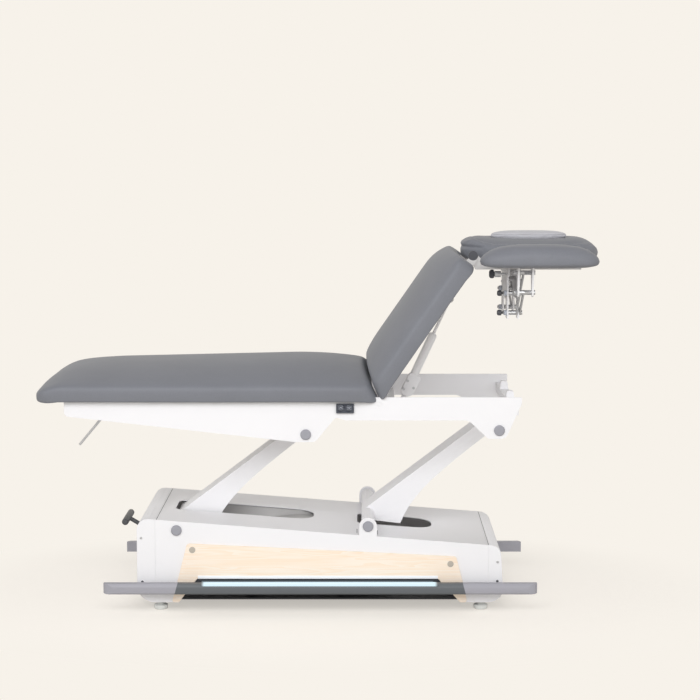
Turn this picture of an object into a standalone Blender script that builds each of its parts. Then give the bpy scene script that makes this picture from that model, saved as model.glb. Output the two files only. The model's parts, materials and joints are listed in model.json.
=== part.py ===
"""Electric treatment table: lifting base, tilting backrest, folding head section and armrests.

Metres, +Z up. +X runs from the foot end to the head end, -Y is the operator's side.
The model stands in its stored pose: backrest raised, head section level.
"""
import math

import bmesh
import bpy
from mathutils import Matrix, Vector

# Fits between pieces
GAP = 0.0003
RUN = 0.0003
MOVE = 0.003

# Base: a low wedge of folded sheet
BASE_LENGTH = 1.168
BASE_HALF_WIDTH = 0.280
BASE_BOTTOM = 0.027
BASE_FOOT_HEIGHT = 0.299
BASE_HEAD_HEIGHT = 0.209
SHEET = 0.003
FOOT_COVER_LENGTH = 0.058
HEAD_COVER_LENGTH = 0.049
END_CORNER = 0.034
PAN_THICKNESS = 0.005

# Feet
FOOT_RADIUS = 0.0225
FOOT_INSET_X = 0.072
FOOT_INSET_Y = 0.030

# Lift: two equal arms on a parallelogram
ARM_LENGTH = 0.517
ARM_ANGLE = math.radians(37.1)
ARM_HALF_WIDTH = 0.070
ARM_TOP = 0.020
ARM_BELLY = 0.024
GUSSET_DEPTH = 0.090
LOWER_PIVOT_X = 0.1265
LOWER_PIVOT_Z = 0.260
PIVOT_SPACING = 0.609
PIVOT_RISE = 0.013
AXLE_RADIUS = 0.008
HUB_RADIUS = 0.021
CAP_RADIUS = 0.017
CAP_THICKNESS = 0.007
TAB_RADIUS = 0.028
SLOT_MARGIN = 0.014
FOOT_SLOT_BEHIND = 0.022
FOOT_SLOT_AHEAD = 0.430
HEAD_SLOT_BEHIND = 0.035
HEAD_SLOT_AHEAD = 0.211
DRIVE_LUG = 0.100
LUG_WIDTH = 0.014

# Lift drive inside the base
SPINDLE_RADIUS = 0.011
DRIVE_TUBE_RADIUS = 0.024
DRIVE_TUBE_LENGTH = 0.290
MOTOR_LENGTH = 0.150
MOTOR_RADIUS = 0.040
TUBE_FROM_PIVOT = 0.180
FORK_REACH = 0.060
SPINDLE_SPARE = 0.110
SADDLE_HALF_LENGTH = 0.015
SADDLE_HALF_WIDTH = 0.030
SADDLE_FROM_TUBE = 0.040
BOX_LENGTH = 0.180
BOX_WIDTH = 0.130
BOX_HEIGHT = 0.060
BOX_FROM_HEAD = 0.348
BOX_FROM_SIDE = 0.037

# Foot bars, light strips and wooden side panels
BAR_ARM_INSET = 0.155
BAR_LENGTH = 1.374
BAR_DEPTH = 0.030
BAR_HEIGHT = 0.0345
BAR_BOTTOM = 0.0645
BAR_STANDOFF = 0.0275
PANEL_THICKNESS = 0.006
PANEL_FOOT_INSET = 0.111
PANEL_HEAD_INSET = 0.117
PANEL_TOP_DROP = 0.075
TONGUE_WIDTH = 0.022
ARCH_FOOT = 0.083
ARCH_HEAD = 0.096
ARCH_CLEARANCE = 0.0095
SKIRT_CLEARANCE = 0.0045
SKIRT_INSET = 0.004
STRIP_HEIGHT = 0.014
STRIP_DEPTH = 0.004

# Castor pedal at the foot end
PEDAL_REACH = 0.060
PEDAL_HEIGHT = 0.248
PEDAL_PIVOT_X = 0.045
PEDAL_PIVOT_Z = 0.185
PEDAL_BAR_HALF = 0.090
PEDAL_BAR_RADIUS = 0.011
PEDAL_STEM_RADIUS = 0.008

# Top frame, placed from the foot arm's upper pivot
PLATE_OUTER = 0.308
PLATE_THICKNESS = 0.005
PLATE_TOP = 0.118
PLATE_FOOT = 0.759
PLATE_HEAD = 0.0705
PLATE_FOOT_DEPTH = 0.060
PLATE_MID_DEPTH = 0.073
FOOT_BOSS = 0.024
HEAD_BOSS = 0.027
CROSS_SIZE = 0.030
CROSS_MID_HEIGHT = 0.020
CROSS_MID_BEHIND = 0.034
CROSS_FOOT_X = -0.640
CROSS_FOOT_Z = 0.085
CROSS_HEAD_INSET = 0.0245
CROSS_HEAD_Z = 0.075
BUMPER_Y = 0.130
BUMPER_RADIUS = 0.011

# Cushions
CUSHION_HALF_WIDTH = 0.340
CUSHION_FLAT = 0.075
SEAT_CROWN_FOOT = 0.009
SEAT_CROWN_HEAD = 0.031
BACK_CROWN = 0.026
CUSHION_EDGE = 0.034
CUSHION_CORNER = 0.075
CUSHION_FOOT_CORNER = 0.030
RIM_DROP = 0.017
BOARD_THICKNESS = 0.010
BOARD_INSET = 0.050
SEAT_FOOT = 0.837
SEAT_HEAD_GAP = 0.010
SEAT_END_LEAN = 0.50
SEAT_LEAN_SPAN = 0.200

# Backrest, drawn lying along its own +X from the hinge
BACK_HINGE_X = 0.231
BACK_HINGE_Z = 0.096
BACK_ANGLE = math.radians(55.2)
BACK_START = 0.011
BACK_LENGTH = 0.509
BACK_RIM = 0.0045
BACK_END_LEAN = 0.56
BACK_LEAN_SPAN = 0.180
BACK_TOP_LEAN = 0.0
HINGE_ROD_RADIUS = 0.007
RAIL_Y = 0.170
RAIL_THICKNESS = 0.006
RAIL_BOTTOM = -0.004
EAR_RADIUS = 0.014

# Gas spring of the backrest
GAS_FRAME_X = 0.305
GAS_FRAME_Z = 0.058
GAS_BORE = 0.145
GAS_ROD_INSIDE = 0.055
GAS_BACK_U = 0.3862
GAS_BACK_N = -0.0176
GAS_TUBE_RADIUS = 0.014
GAS_TUBE_END = 0.255
GAS_ROD_RADIUS = 0.005
GAS_EYE = 0.009
GAS_FORK_GAP = 0.010
GAS_PLATE = 0.004

# Head section, placed from its hinge at the top of the backrest
HEAD_HINGE_U = 0.549
HEAD_HINGE_N = 0.0164
HEAD_ROLL = 0.026
HEAD_REACH = 0.4155
HEAD_HALF_WIDTH = 0.185
HEAD_BOTTOM = -0.023
HEAD_EDGE_TOP = 0.044
HEAD_CROWN = 0.006
HEAD_ROLL_RISE = 0.24
HEAD_ROLL_DEPTH = 0.083
HEAD_END_DROP = 0.22
HEAD_END_DEPTH = 0.083
HEAD_GROOVE = 0.006
HEAD_PLATE = 0.005
HEAD_PIN_RADIUS = 0.006
FACE_HOLE_X = 0.191
FACE_HOLE_LENGTH = 0.236
FACE_HOLE_WIDTH = 0.130
PLUG_RISE = 0.018
PLUG_LIP = 0.006

# Armrests and their parallelogram linkages
REST_START = 0.013
REST_LENGTH = 0.378
REST_INNER = 0.200
REST_WIDTH = 0.160
REST_BOTTOM = -0.028
REST_HEIGHT = 0.0655
YOKE_LEFT = 0.113
YOKE_GAP = 0.029
YOKE_PLATE = 0.005
YOKE_HALF_WIDTH = 0.125
YOKE_DEPTH = 0.179
YOKE_PIN_INSET = 0.015
YOKE_PIN_LOW = 0.019
PIN_SPACING = 0.063
LINK_LENGTH = 0.159
LINK_ANGLE = math.radians(28.4)
LINK_PLATE = 0.005
LINK_WIDTH = 0.016
BRACKET_LEFT = 0.135
BRACKET_GAP = 0.039
BRACKET_PLATE = 0.006
BRACKET_HALF_DEPTH = 0.030
LINK_PIN_RADIUS = 0.005
SLEEVE_RADIUS = 0.0075
BALL_RADIUS = 0.0075

# Hand controls
CONTROL_X = 0.124
CONTROL_LENGTH = 0.056
CONTROL_HEIGHT = 0.0235
CONTROL_TOP = 0.098
CONTROL_DEPTH = 0.009
BUTTON_RADIUS = 0.0075
BUTTON_PROUD = 0.002
BUTTON_PITCH = 0.026
LEVER_LENGTH = 0.135
LEVER_ANGLE = math.radians(50)
LEVER_WIDTH = 0.018
LEVER_THICKNESS = 0.008
LEVER_Y = -0.200

# Colour, roughness and metallic value of each finish
FINISHES = {
    "white_powder_coat": ((0.86, 0.85, 0.87), 0.38, 0.0),
    "grey_upholstery": ((0.21, 0.21, 0.22), 0.55, 0.0),
    "plywood": ((0.62, 0.45, 0.28), 0.70, 0.0),
    "maple_panel": ((0.92, 0.78, 0.58), 0.45, 0.0),
    "steel": ((0.62, 0.62, 0.64), 0.30, 1.0),
    "grey_cap": ((0.40, 0.40, 0.43), 0.45, 0.0),
    "dark_plastic": ((0.06, 0.065, 0.08), 0.50, 0.0),
    "slate_bar": ((0.13, 0.14, 0.15), 0.50, 0.0),
    "light_strip": ((0.70, 0.88, 0.94), 0.30, 0.0),
    "pale_rubber": ((0.74, 0.74, 0.71), 0.60, 0.0),
    "grey_plug": ((0.47, 0.46, 0.48), 0.55, 0.0),
    "motor_black": ((0.03, 0.03, 0.035), 0.50, 0.0),
}


# Small modelling helpers

def clear_scene():
    for obj in list(bpy.data.objects):
        bpy.data.objects.remove(obj, do_unlink=True)


def finish_material(obj, finish):
    colour, roughness, metallic = FINISHES[finish]
    material = bpy.data.materials.new(obj.name)
    material.use_nodes = True
    shader = material.node_tree.nodes["Principled BSDF"]
    shader.inputs["Base Color"].default_value = (*colour, 1.0)
    shader.inputs["Roughness"].default_value = roughness
    shader.inputs["Metallic"].default_value = metallic
    obj.data.materials.clear()
    obj.data.materials.append(material)


def object_from(bm, name):
    bmesh.ops.recalc_face_normals(bm, faces=bm.faces[:])
    mesh = bpy.data.meshes.new(name)
    bm.to_mesh(mesh)
    bm.free()
    obj = bpy.data.objects.new(name, mesh)
    bpy.context.scene.collection.objects.link(obj)
    return obj


def combine(body, tools, operation):
    """Join tools to a body, or cut them from it, and keep the result as the body's mesh."""
    for tool in tools:
        modifier = body.modifiers.new(operation, "BOOLEAN")
        modifier.operation = operation
        modifier.solver = "EXACT"
        modifier.object = tool
        bpy.context.view_layer.update()
        graph = bpy.context.evaluated_depsgraph_get()
        mesh = bpy.data.meshes.new_from_object(body.evaluated_get(graph))
        body.modifiers.remove(modifier)
        body.data = mesh
        bpy.data.objects.remove(tool, do_unlink=True)
    return body


def join(body, *tools):
    return combine(body, tools, "UNION")


def cut(body, *tools):
    return combine(body, tools, "DIFFERENCE")


def node(obj, name, finish, parent):
    """Name a finished piece, colour it, shade it and hang it on its parent empty."""
    obj.name = name
    obj.data.name = name
    finish_material(obj, finish)
    obj.data.shade_smooth()
    obj.data.set_sharp_from_angle(angle=math.radians(35))
    obj.parent = parent
    return obj


def pivot(name, parent, place, turn_y=0.0, turn_x=0.0):
    empty = bpy.data.objects.new(name, None)
    empty.parent = parent
    empty.location = place
    empty.rotation_euler = (turn_x, turn_y, 0.0)
    bpy.context.scene.collection.objects.link(empty)
    return empty


def box(x0, x1, y0, y1, z0, z1, name="box"):
    bm = bmesh.new()
    bmesh.ops.create_cube(bm, size=1.0)
    bmesh.ops.scale(bm, vec=(x1 - x0, y1 - y0, z1 - z0), verts=bm.verts[:])
    bmesh.ops.translate(bm, vec=((x0 + x1) / 2, (y0 + y1) / 2, (z0 + z1) / 2), verts=bm.verts[:])
    return object_from(bm, name)


def soft_box(x0, x1, y0, y1, z0, z1, edge, segments=2):
    obj = box(x0, x1, y0, y1, z0, z1)
    bm = bmesh.new()
    bm.from_mesh(obj.data)
    bpy.data.objects.remove(obj, do_unlink=True)
    bmesh.ops.bevel(bm, geom=bm.edges[:], offset=edge, segments=segments, profile=0.5,
                    affect="EDGES", material=-1)
    return object_from(bm, "soft_box")


AXIS_TURN = {
    "X": Matrix.Rotation(math.radians(90), 4, "Y"),
    "Y": Matrix.Rotation(math.radians(-90), 4, "X"),
    "Z": Matrix.Identity(4),
}


def turned(profile, axis, centre, segments=20):
    """Turn (radius, height) points about an axis through a centre; the ends are flat discs."""
    bm = bmesh.new()
    rings = []
    for radius, height in profile:
        ring = [bm.verts.new((radius * math.cos(2 * math.pi * i / segments),
                              radius * math.sin(2 * math.pi * i / segments), height))
                for i in range(segments)]
        rings.append(ring)
    for low, high in zip(rings, rings[1:]):
        for i in range(segments):
            j = (i + 1) % segments
            bm.faces.new((low[i], low[j], high[j], high[i]))
    bm.faces.new(rings[0])
    bm.faces.new(rings[-1])
    bmesh.ops.transform(bm, matrix=Matrix.Translation(centre) @ AXIS_TURN[axis], verts=bm.verts[:])
    return object_from(bm, "turned")


def rod(radius, start, end, axis, centre, segments=16):
    return turned([(radius, start), (radius, end)], axis, centre, segments)


def arc(cx, cz, radius, start, end, steps):
    """Points on a circle in the X-Z plane, from one angle to another in degrees."""
    angles = [math.radians(start + (end - start) * i / steps) for i in range(steps + 1)]
    return [(cx + radius * math.cos(a), cz + radius * math.sin(a)) for a in angles]


def rounded(points, steps=4):
    """An outline whose corners (x, z, radius) are rounded off with tangent arcs."""
    outline = []
    count = len(points)
    for i, (x, z, radius) in enumerate(points):
        here = Vector((x, z))
        if radius <= 0:
            outline.append((x, z))
            continue
        before = (Vector(points[i - 1][:2]) - here).normalized()
        after = (Vector(points[(i + 1) % count][:2]) - here).normalized()
        half = before.angle(after) / 2
        reach = radius / math.tan(half)
        centre = here + (before + after).normalized() * (radius / math.sin(half))
        first = here + before * reach - centre
        last = here + after * reach - centre
        turn = math.atan2(first.x * last.y - first.y * last.x, first.dot(last))
        for k in range(steps + 1):
            angle = turn * k / steps
            outline.append((centre.x + first.x * math.cos(angle) - first.y * math.sin(angle),
                            centre.y + first.x * math.sin(angle) + first.y * math.cos(angle)))
    return outline


def prism(outline, low, high, along="Y"):
    """Extrude an outline: (x, z) points along Y, (y, z) along X, or (x, y) along Z."""
    place = {"Y": lambda a, b, t: (a, t, b),
             "X": lambda a, b, t: (t, a, b),
             "Z": lambda a, b, t: (a, b, t)}[along]
    bm = bmesh.new()
    face = bm.faces.new([bm.verts.new(place(a, b, low)) for a, b in outline])
    extruded = bmesh.ops.extrude_face_region(bm, geom=[face])
    moved = [item for item in extruded["geom"] if isinstance(item, bmesh.types.BMVert)]
    bmesh.ops.translate(bm, vec=place(0, 0, high - low), verts=moved)
    return object_from(bm, "prism")


def loft(rings):
    """A closed skin through rings of equal point count, capped flat at both ends."""
    bm = bmesh.new()
    loops = [[bm.verts.new(point) for point in ring] for ring in rings]
    count = len(loops[0])
    for low, high in zip(loops, loops[1:]):
        for i in range(count):
            j = (i + 1) % count
            bm.faces.new((low[i], low[j], high[j], high[i]))
    bm.faces.new(loops[0])
    bm.faces.new(loops[-1])
    return object_from(bm, "loft")


def reshape(obj, move):
    """Move every vertex of a mesh by a rule that takes and returns a Vector."""
    for vertex in obj.data.vertices:
        vertex.co = move(vertex.co.copy())
    obj.data.update()
    return obj


def smooth_step(value):
    value = min(max(value, 0.0), 1.0)
    return value * value * (3 - 2 * value)


# Places worked out from the driving dimensions

def base_top(x):
    return BASE_FOOT_HEIGHT + (BASE_HEAD_HEIGHT - BASE_FOOT_HEIGHT) * x / BASE_LENGTH


def turn(u, n, angle):
    """A point (u, n) in the X-Z plane after a turn that lifts the +X side by the angle."""
    return (u * math.cos(angle) - n * math.sin(angle), u * math.sin(angle) + n * math.cos(angle))


LOWER_FOOT = (LOWER_PIVOT_X, LOWER_PIVOT_Z)
LOWER_HEAD = (LOWER_PIVOT_X + PIVOT_SPACING, LOWER_PIVOT_Z + PIVOT_RISE)
ARM_RUN, ARM_LIFT = turn(ARM_LENGTH, 0.0, ARM_ANGLE)
UPPER_FOOT = (LOWER_FOOT[0] + ARM_RUN, LOWER_FOOT[1] + ARM_LIFT)
HEAD_RUN, HEAD_LIFT = turn(HEAD_HINGE_U, HEAD_HINGE_N, BACK_ANGLE)
HEAD_HINGE_X = UPPER_FOOT[0] + BACK_HINGE_X + HEAD_RUN
ORIGIN_X = -((UPPER_FOOT[0] - SEAT_FOOT) + (HEAD_HINGE_X + HEAD_REACH)) / 2
PLATE_INNER = PLATE_OUTER - PLATE_THICKNESS
BASE_INNER = BASE_HALF_WIDTH - SHEET
PANEL_BOTTOM = BASE_BOTTOM + 0.001
ARCH_TOP = BAR_BOTTOM + BAR_HEIGHT + ARCH_CLEARANCE
SEAT_RIM = PLATE_TOP - RIM_DROP
BOARD_BOTTOM = PLATE_TOP + GAP
BACK_BOARD = PLATE_TOP - BACK_HINGE_Z + 4 * GAP
RAIL_TOP = BACK_BOARD - GAP
GAS_RUN, GAS_LIFT = turn(GAS_BACK_U, GAS_BACK_N, BACK_ANGLE)
GAS_X = BACK_HINGE_X + GAS_RUN - GAS_FRAME_X
GAS_Z = BACK_HINGE_Z + GAS_LIFT - GAS_FRAME_Z
GAS_LENGTH = math.hypot(GAS_X, GAS_Z)
GAS_ANGLE = math.atan2(GAS_Z, GAS_X)
HEAD_PLATE_TOP = HEAD_BOTTOM - GAP
BAR_Z = HEAD_PLATE_TOP - HEAD_PLATE
HEAD_BAR_DEPTH = 0.0175
YOKE_TOP = BAR_Z - HEAD_BAR_DEPTH - GAP
YOKE_BOTTOM = YOKE_TOP - YOKE_DEPTH + HEAD_BAR_DEPTH
YOKE_RIGHT = YOKE_LEFT + 2 * YOKE_PLATE + YOKE_GAP
PIN_Y = YOKE_HALF_WIDTH - YOKE_PIN_INSET
LOWER_PIN_Z = YOKE_BOTTOM + YOKE_PIN_LOW
UPPER_PIN_Z = LOWER_PIN_Z + PIN_SPACING
BRACKET_RIGHT = BRACKET_LEFT + 2 * BRACKET_PLATE + BRACKET_GAP
REST_PIN_Y = PIN_Y + LINK_LENGTH * math.cos(LINK_ANGLE)
REST_PIN_RISE = LINK_LENGTH * math.sin(LINK_ANGLE)


# Base

def base_cover(root):
    """Folded top and sides, slotted for the arms, with a tab each side for the head pivot."""
    x0 = FOOT_COVER_LENGTH + GAP
    x1 = BASE_LENGTH - HEAD_COVER_LENGTH - GAP
    wedge = [(x0, BASE_BOTTOM), (x1, BASE_BOTTOM), (x1, base_top(x1)), (x0, base_top(x0))]
    body = prism(wedge, -BASE_HALF_WIDTH, BASE_HALF_WIDTH)
    px, pz = LOWER_HEAD
    foot = base_top(px) - SHEET
    tab = arc(px, pz, TAB_RADIUS, 0, 180, 12) + [(px - TAB_RADIUS, foot), (px + TAB_RADIUS, foot)]
    for sign in (-1, 1):
        join(body, prism(tab, *sorted((sign * (BASE_INNER + GAP), sign * (BASE_HALF_WIDTH - GAP)))))
    below, beyond = BASE_BOTTOM - SHEET, SHEET
    hollow = [(x0 - beyond, below), (x1 + beyond, below),
              (x1 + beyond, base_top(x1 + beyond) - SHEET), (x0 - beyond, base_top(x0 - beyond) - SHEET)]
    cut(body, prism(hollow, -BASE_INNER, BASE_INNER))
    left, right, top = PANEL_FOOT_INSET - SKIRT_INSET, BASE_LENGTH - PANEL_HEAD_INSET + SKIRT_INSET, BAR_BOTTOM - SKIRT_CLEARANCE
    rise = (top - below) / (ARCH_TOP - PANEL_BOTTOM)
    skirt = [(left + TONGUE_WIDTH, below), (right - TONGUE_WIDTH, below),
             (right - TONGUE_WIDTH - (ARCH_HEAD - TONGUE_WIDTH) * rise, top),
             (left + TONGUE_WIDTH + (ARCH_FOOT - TONGUE_WIDTH) * rise, top)]
    cut(body, prism(skirt, -BASE_HALF_WIDTH - SHEET, BASE_HALF_WIDTH + SHEET))
    half = ARM_HALF_WIDTH + SLOT_MARGIN
    for (sx, _), behind, ahead in ((LOWER_FOOT, FOOT_SLOT_BEHIND, FOOT_SLOT_AHEAD),
                                   (LOWER_HEAD, HEAD_SLOT_BEHIND, HEAD_SLOT_AHEAD)):
        square, round_end = half * 0.3, half * 0.75
        slot = rounded([(sx - behind, -half, square), (sx + ahead, -half, round_end),
                        (sx + ahead, half, round_end), (sx - behind, half, square)])
        low, high = base_top(BASE_LENGTH) - 2 * SHEET, BASE_FOOT_HEIGHT + SHEET
        cut(body, prism(slot, low, high, "Z"))
    for px, pz in (LOWER_FOOT, LOWER_HEAD):
        cut(body, rod(AXLE_RADIUS + RUN, -BASE_HALF_WIDTH - SHEET, BASE_HALF_WIDTH + SHEET, "Y", (px, 0, pz)))
    return node(body, "base_cover", "white_powder_coat", root)


def end_covers(root):
    """Pressed covers that close the two ends of the base."""
    below = BASE_BOTTOM - SHEET
    x1 = FOOT_COVER_LENGTH
    inner_corner = END_CORNER - SHEET
    outer = rounded([(0, BASE_BOTTOM, 0.018), (x1, BASE_BOTTOM, 0), (x1, base_top(x1), 0),
                     (0, base_top(0), END_CORNER)])
    hollow = rounded([(SHEET, below, 0), (x1 + SHEET, below, 0), (x1 + SHEET, base_top(x1) - SHEET, 0),
                      (SHEET, base_top(0) - SHEET, inner_corner)])
    foot = cut(prism(outer, -BASE_HALF_WIDTH, BASE_HALF_WIDTH), prism(hollow, -BASE_INNER, BASE_INNER))
    stem = PEDAL_STEM_RADIUS + MOVE
    cut(foot, box(-SHEET, 2 * SHEET, -stem, stem, PEDAL_PIVOT_Z - 0.060, PEDAL_HEIGHT - 0.012))
    node(foot, "foot_end_cover", "white_powder_coat", root)
    x0 = BASE_LENGTH - HEAD_COVER_LENGTH
    lean = 0.010
    outer = rounded([(x0, BASE_BOTTOM, 0), (BASE_LENGTH, BASE_BOTTOM, 0.022),
                     (BASE_LENGTH - lean, base_top(BASE_LENGTH), END_CORNER), (x0, base_top(x0), 0)])
    hollow = rounded([(x0 - SHEET, below, 0), (BASE_LENGTH - SHEET, below, 0),
                      (BASE_LENGTH - lean - SHEET, base_top(BASE_LENGTH) - SHEET, inner_corner),
                      (x0 - SHEET, base_top(x0) - SHEET, 0)])
    head = cut(prism(outer, -BASE_HALF_WIDTH, BASE_HALF_WIDTH), prism(hollow, -BASE_INNER, BASE_INNER))
    node(head, "head_end_cover", "white_powder_coat", root)


def base_pan(root):
    """Floor plate of the base, which carries the feet and the lift drive."""
    half = BASE_INNER - GAP
    pan = box(0.024, BASE_LENGTH - 0.030, -half, half, BASE_BOTTOM, BASE_BOTTOM + PAN_THICKNESS)
    node(pan, "base_pan", "white_powder_coat", root)


def feet(root):
    top = BASE_BOTTOM - GAP
    profile = [(FOOT_RADIUS * 0.9, 0), (FOOT_RADIUS, 0.003), (FOOT_RADIUS, 0.014),
               (FOOT_RADIUS * 0.6, 0.018), (FOOT_RADIUS * 0.6, top)]
    for end, x in (("foot", FOOT_INSET_X), ("head", BASE_LENGTH - FOOT_INSET_X)):
        for side, sign in (("near", -1), ("far", 1)):
            place = (x, sign * (BASE_HALF_WIDTH - FOOT_INSET_Y), 0)
            node(turned(profile, "Z", place, 16), f"levelling_foot_{end}_{side}", "pale_rubber", root)


def axle(name, x, z, half, parent):
    """Pivot axle with a round cap on the outside of each plate."""
    side = [(CAP_RADIUS * 0.8, half + CAP_THICKNESS), (CAP_RADIUS, half + CAP_THICKNESS * 0.6),
            (CAP_RADIUS, half + GAP), (AXLE_RADIUS, half + GAP)]
    profile = [(radius, -height) for radius, height in side] + side[::-1]
    node(turned(profile, "Y", (x, 0, z)), name, "grey_cap", parent)


def wood_panels(root):
    """Curved-foot maple panels on both sides of the base, arched over the foot bars."""
    left, right = PANEL_FOOT_INSET, BASE_LENGTH - PANEL_HEAD_INSET
    low, arch = PANEL_BOTTOM, ARCH_TOP
    outline = rounded([
        (left, low, 0.006), (left + TONGUE_WIDTH, low, 0.010), (left + ARCH_FOOT, arch, 0.018),
        (right - ARCH_HEAD, arch, 0.018), (right - TONGUE_WIDTH, low, 0.010), (right, low, 0.006),
        (right - 0.013, arch - 0.018, 0.08), (right - 0.036, base_top(right) - PANEL_TOP_DROP + 0.034, 0.010),
        (left + 0.049, base_top(left) - PANEL_TOP_DROP + 0.003, 0.010), (left + 0.016, arch - 0.018, 0.08)])
    start = BASE_HALF_WIDTH + GAP
    for side, sign in (("near", -1), ("far", 1)):
        low_y, high_y = sorted((sign * start, sign * (start + PANEL_THICKNESS)))
        node(prism(outline, low_y, high_y), f"wood_panel_{side}", "maple_panel", root)


def light_strips(root):
    start = BASE_HALF_WIDTH + GAP
    top = BAR_BOTTOM + BAR_HEIGHT + 0.005
    for side, sign in (("near", -1), ("far", 1)):
        y0, y1 = sorted((sign * start, sign * (start + STRIP_DEPTH)))
        strip = box(PANEL_FOOT_INSET + 0.095, BASE_LENGTH - PANEL_HEAD_INSET - 0.108, y0, y1,
                    top - STRIP_HEIGHT, top)
        node(strip, f"light_strip_{side}", "light_strip", root)


def foot_bars(root):
    """Switch bars along both sides, carried on stand-offs that reach through the arch."""
    middle = BASE_LENGTH / 2
    inner = BASE_HALF_WIDTH + BAR_STANDOFF
    bar_top = BAR_BOTTOM + BAR_HEIGHT
    section = [(inner, BAR_BOTTOM), (inner + BAR_DEPTH - 0.005, BAR_BOTTOM), (inner + BAR_DEPTH, BAR_BOTTOM + 0.005),
               (inner + BAR_DEPTH, bar_top - 0.010), (inner + BAR_DEPTH - 0.008, bar_top), (inner, bar_top)]
    for side, sign in (("near", -1), ("far", 1)):
        outline = [(sign * y, z) for y, z in section]
        bar = prism(outline, middle - BAR_LENGTH / 2, middle + BAR_LENGTH / 2, "X")
        for reach in (-1, 1):
            tip = middle + reach * BAR_LENGTH / 2
            inside = tip - reach * BAR_DEPTH
            corner = [(tip + reach * SHEET, sign * (inner + BAR_DEPTH + SHEET)), (inside, sign * (inner + BAR_DEPTH + SHEET)),
                      (inside, sign * (inner + BAR_DEPTH)), (tip - reach * 0.008, sign * (inner + BAR_DEPTH - 0.010)),
                      (tip, sign * (inner + BAR_DEPTH - 0.022)), (tip + reach * SHEET, sign * (inner + BAR_DEPTH - 0.022))]
            cut(bar, prism(corner, BAR_BOTTOM - SHEET, bar_top + SHEET, "Z"))
        for x in (PANEL_FOOT_INSET + BAR_ARM_INSET, BASE_LENGTH - PANEL_HEAD_INSET - BAR_ARM_INSET):
            y0, y1 = sorted((sign * (BASE_HALF_WIDTH + GAP), sign * (inner + 0.002)))
            join(bar, box(x - 0.020, x + 0.020, y0, y1, BAR_BOTTOM + 0.002, BAR_BOTTOM + 0.016))
        node(bar, f"foot_bar_{side}", "slate_bar", pivot(f"foot_bar_{side}_rest", root, (0, 0, 0)))


def castor_pedal(root):
    """T-handle on a cross shaft that turns the castors down."""
    hinge = pivot("castor_pedal_axis", root, (PEDAL_PIVOT_X, 0, PEDAL_PIVOT_Z))
    half = BASE_INNER - GAP
    shaft = rod(PEDAL_STEM_RADIUS, -half, half, "Y", (0, 0, 0))
    rise = PEDAL_HEIGHT - PEDAL_PIVOT_Z
    run = PEDAL_REACH + PEDAL_PIVOT_X
    length = math.hypot(run, rise)
    stem = rod(PEDAL_STEM_RADIUS - 0.001, 0, length, "X", (0, 0, 0), 16)
    slope = math.atan2(rise, -run)
    reshape(stem, lambda p: Vector((*turn(p.x, p.z, slope), p.y)).xzy)
    end = PEDAL_BAR_HALF
    grip = [(PEDAL_BAR_RADIUS * 0.5, -end), (PEDAL_BAR_RADIUS * 0.9, -end + 0.003),
            (PEDAL_BAR_RADIUS, -end + 0.008), (PEDAL_BAR_RADIUS, end - 0.008),
            (PEDAL_BAR_RADIUS * 0.9, end - 0.003), (PEDAL_BAR_RADIUS * 0.5, end)]
    handle = turned(grip, "Y", (-run, 0, rise))
    node(join(shaft, stem, handle), "castor_pedal", "dark_plastic", hinge)


def lift_drive(root):
    """Motor with its screw tube on the floor of the base, and the spindle that pulls the foot arm."""
    z = LOWER_PIVOT_Z - DRIVE_LUG
    start = LOWER_PIVOT_X + TUBE_FROM_PIVOT
    end = start + DRIVE_TUBE_LENGTH
    tube = rod(DRIVE_TUBE_RADIUS, start, end, "X", (0, 0, z))
    motor = turned([(MOTOR_RADIUS * 0.8, end - 0.010), (MOTOR_RADIUS, end), (MOTOR_RADIUS, end + MOTOR_LENGTH * 0.7),
                    (MOTOR_RADIUS * 0.8, end + MOTOR_LENGTH)], "X", (0, 0, z))
    floor = BASE_BOTTOM + PAN_THICKNESS + GAP
    saddles = [box(x - SADDLE_HALF_LENGTH, x + SADDLE_HALF_LENGTH, -SADDLE_HALF_WIDTH, SADDLE_HALF_WIDTH, floor, z)
               for x in (start + SADDLE_FROM_TUBE, end + MOTOR_LENGTH * 0.35)]
    body = join(tube, motor, *saddles)
    cut(body, rod(SPINDLE_RADIUS + RUN, start - SHEET, end - 0.020, "X", (0, 0, z)))
    node(body, "lift_motor", "motor_black", root)
    seat = pivot("lift_spindle_rest", root, (0, 0, 0))
    tip = LOWER_PIVOT_X + FORK_REACH
    spindle = rod(SPINDLE_RADIUS, tip, end - SPINDLE_SPARE, "X", (0, 0, z))
    gap = LUG_WIDTH / 2 + MOVE
    block = box(tip - 0.002, tip + 0.014, -gap - 0.005, gap + 0.005, z - 0.016, z + 0.016)
    cheeks = [box(LOWER_PIVOT_X - 0.020, tip, sign * (gap + 0.0025) - 0.0025, sign * (gap + 0.0025) + 0.0025,
                  z - 0.016, z + 0.016) for sign in (-1, 1)]
    node(join(spindle, block, *cheeks), "lift_spindle", "steel", seat)


def control_box(root):
    floor = BASE_BOTTOM + PAN_THICKNESS + GAP
    x1, y1 = BASE_LENGTH - BOX_FROM_HEAD, BASE_INNER - BOX_FROM_SIDE
    case = soft_box(x1 - BOX_LENGTH, x1, y1 - BOX_WIDTH, y1, floor, floor + BOX_HEIGHT, 0.006)
    node(case, "control_box", "motor_black", root)


# Lift arms

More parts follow.
